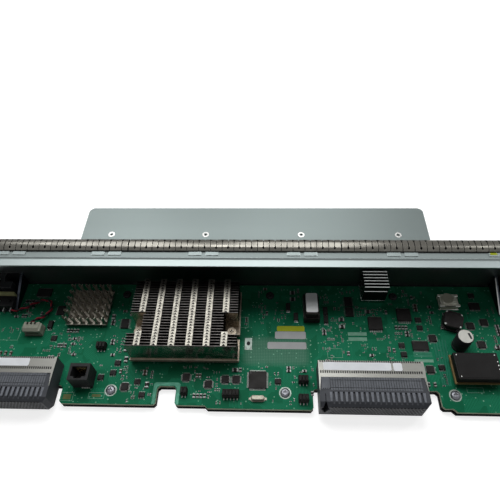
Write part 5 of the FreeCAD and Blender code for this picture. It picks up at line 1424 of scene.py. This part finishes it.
# The strands' thickness, how far they lie off the lead's path, and the lift that rests them on the board
STRAND_RADIUS = 0.36 * LEAD_DIAMETER / MM
STRAND_OFFSET = 0.32 * LEAD_DIAMETER / MM
STRAND_LIFT = Vector((0.0, 0.0, 0.38))
lead_curve = bpy.data.curves.new("lead_route", "CURVE")
lead_curve.dimensions = "3D"
lead_curve.resolution_u = 12
lead_spline = lead_curve.splines.new("NURBS")
lead_spline.points.add(len(LEAD_ROUTE) - 1)
for control, place in zip(lead_spline.points, LEAD_ROUTE):
    control.co = (*place, 1.0)
lead_spline.order_u = 3
lead_spline.use_endpoint_u = True
lead_guide = bpy.data.objects.new("lead_route", lead_curve)
lead_mesh = bpy.data.meshes.new_from_object(lead_guide)
lead_path = [vert.co.copy() for vert in lead_mesh.vertices]
bpy.data.meshes.remove(lead_mesh)
bpy.data.objects.remove(lead_guide)
red_sheath = finish("red_sheath", (0.22, 0.016, 0.028), 0.36, shade=0.8, cloud=3.0, grain=0.2, bump=0.1)
black_sheath = finish("black_sheath", (0.014, 0.014, 0.015), 0.36, shade=0.8, cloud=3.0, grain=0.2,
                      bump=0.1)
bm = bmesh.new()
for strand, start in enumerate((0.0, math.pi)):
    run = 0.0
    strand_points = []
    previous = lead_path[0] / MM
    for point, sideways, upward in carried_along([place / MM for place in lead_path]):
        run += (point - previous).length
        previous = point
        angle = start + math.tau * run / TWIST_PITCH
        outward = sideways * math.cos(angle) + upward * math.sin(angle)
        strand_points.append(point + STRAND_LIFT + outward * STRAND_OFFSET)
    tube(bm, strand_points, STRAND_RADIUS, strand, 12)
lead_strands = piece("lead_strands", bm, [red_sheath, black_sheath], replaces=["switch_lead"],
                     smooth_below=50)
cream_plastic = finish("cream_plastic", (0.25, 0.26, 0.21), 0.42, shade=0.85, cloud=4.0, grain=0.2,
                       bump=0.15, edge=(0.46, 0.47, 0.40), edge_reach=0.3)
low, high = box("lead_plug")
CRIMP_PITCH = 3.2
CRIMP_WIDTH = 1.8
near, shelf = low.y + 0.6, high.z - 3.2
wedge = [(near, shelf), (high.y, shelf), (high.y, high.z), (low.y + 3.0, high.z), (near, high.z - 1.8)]
bm = bmesh.new()
loft(bm, [[(x, *point) for point in wedge] for x in (low.x + 0.5, high.x - 2.0)])
slab(bm, (high.x - 2.2, low.y, low.z), (high.x, high.y - 0.6, high.z - 0.4), 0, 0.5, 2)
slab(bm, *drawn_in(low, high, (1.4, 1.2, 0.0), (2.0, 0.8, 3.0)), 1, 0.3)
for step in range(3):
    x = low.x + 2.4 + step * CRIMP_PITCH
    slab(bm, (x, high.y - 2.4, high.z - 1.0), (x + CRIMP_WIDTH, high.y, high.z), 1, 0.1)
lead_plug = piece("lead_plug_body", bm, [cream_plastic, contact_black],
                  replaces=["lead_plug"])
low, high = box("lead_header")
HEADER_FLOOR = low.z + 0.9
HEADER_END = high.x - 2.4
bm = bmesh.new()
slab(bm, low, (high.x, high.y, HEADER_FLOOR), 1, 0.15)
slab(bm, (HEADER_END, low.y, HEADER_FLOOR), high, 0, 0.3)
slab(bm, (low.x + 0.6, low.y + 0.6, HEADER_FLOOR), (HEADER_END, high.y, high.z), 1, 0.2)
piece("lead_header_body", bm, [cream_plastic, contact_black], replaces=["lead_header"])


# Microswitch: a black moulded case in two halves on the left bracket, behind a pale insulating plate, with
# a sliding plunger and tinned terminals.
switch_black = finish("switch_black", (0.018, 0.018, 0.019), 0.34, cloud=5.0, grain=0.3,
                      edge=(0.07, 0.07, 0.07))
pale_plate = finish("pale_plate", (0.44, 0.43, 0.22), 0.45, shade=0.85, cloud=5.0, grain=0.3)
low, high = box("switch_body")
middle = (low.z + high.z) / 2
CASE_GAP = 0.1
bm = bmesh.new()
slab(bm, low, (high.x, high.y, middle - CASE_GAP), 0, 0.4, 2)
slab(bm, (low.x, low.y, middle + CASE_GAP), high, 0, 0.4, 2)
slab(bm, (low.x + 0.3, low.y + 0.3, middle - 0.3), (high.x - 0.3, high.y - 0.3, middle + 0.3))
for x in (low.x + 3.2, high.x - 3.2):
    turned(bm, [(1.3, -0.4), (1.3, -0.05), (0.9, 0.0), (0.2, 0.0)], Vector((x, low.y + 5.0, high.z)), 1, 24)
piece("switch_case", bm, [switch_black, plated_steel], replaces=["switch_body"])
dress(pale_plate, "switch_plate")
dress(switch_black, "switch_plunger")
dress(lead_tin, "switch_terminals")


# Lever brackets, ejector levers and hinge pins: pressed steel brackets standing on the board, the right one
# with a bright strip along its sloping rim as a painted highlight, and levers of dark painted die casting
# that turn on steel pins.
# A shutter on each lever closes the window beside its neck.
bracket_plating = finish("bracket_plating", (0.042, 0.048, 0.060), 0.32, metallic=1.0, shade=0.8,
                         cloud=20.0, grain=0.4, stretch=(0.2, 1.0, 1.0))
lever_paint = finish("lever_paint", (0.030, 0.032, 0.035), 0.42, shade=0.85, cloud=25.0, grain=0.35,
                     bump=0.25, edge=(0.22, 0.22, 0.22), edge_reach=0.5)
dress(bracket_plating, "left_lever_bracket", "right_lever_bracket")
low, high = box("right_lever_bracket")
# A bright tinned strip along the right bracket's sloping rim: a painted highlight
RIM_WIDTH = 0.8
RIM_RISE = 0.1
RIM_DROP = 0.6
rim_start, rim_end = low.x - 0.02, low.x + RIM_WIDTH
rim_rings = []
for y, level in ((low.y + 0.2, low.z + 2.1), (high.y - 2.0, high.z)):
    rim_rings.append([(rim_start, y, level - RIM_DROP), (rim_end, y, level - RIM_DROP),
                      (rim_end, y, level + RIM_RISE), (rim_start, y, level + RIM_RISE)])
bm = bmesh.new()
loft(bm, rim_rings)
piece("bracket_rim_highlight", bm, [lead_tin])
dress(lever_paint, "left_lever", "right_lever")
# The left lever's shutter in plan: a tapered blade
BLADE = ((-219.3, 55.6), (-217.0, 56.3), (-208.8, 56.7), (-208.5, 57.0), (-208.8, 57.3), (-217.0, 57.4),
         (-219.3, 58.2))
for side, hand in (("left", 1), ("right", -1)):
    low, high = box(f"{side}_lever")
    blade = [(hand * across, y) for across, y in BLADE]
    bm = bmesh.new()
    prism(bm, blade[::hand], low.z + 0.1, high.z - 0.1)
    piece(f"{side}_lever_shutter", bm, [lever_paint], body=f"{side}_lever")
dress(plated_steel, "left_hinge_pin", "right_hinge_pin")


# Captive screws: steel thumbscrews with a many-sided knob and a collar that holds them, turning in the
# faceplate's own holes near its ends. They keep the shape of their solids.
dress(plated_steel, "left_captive_screw", "right_captive_screw")
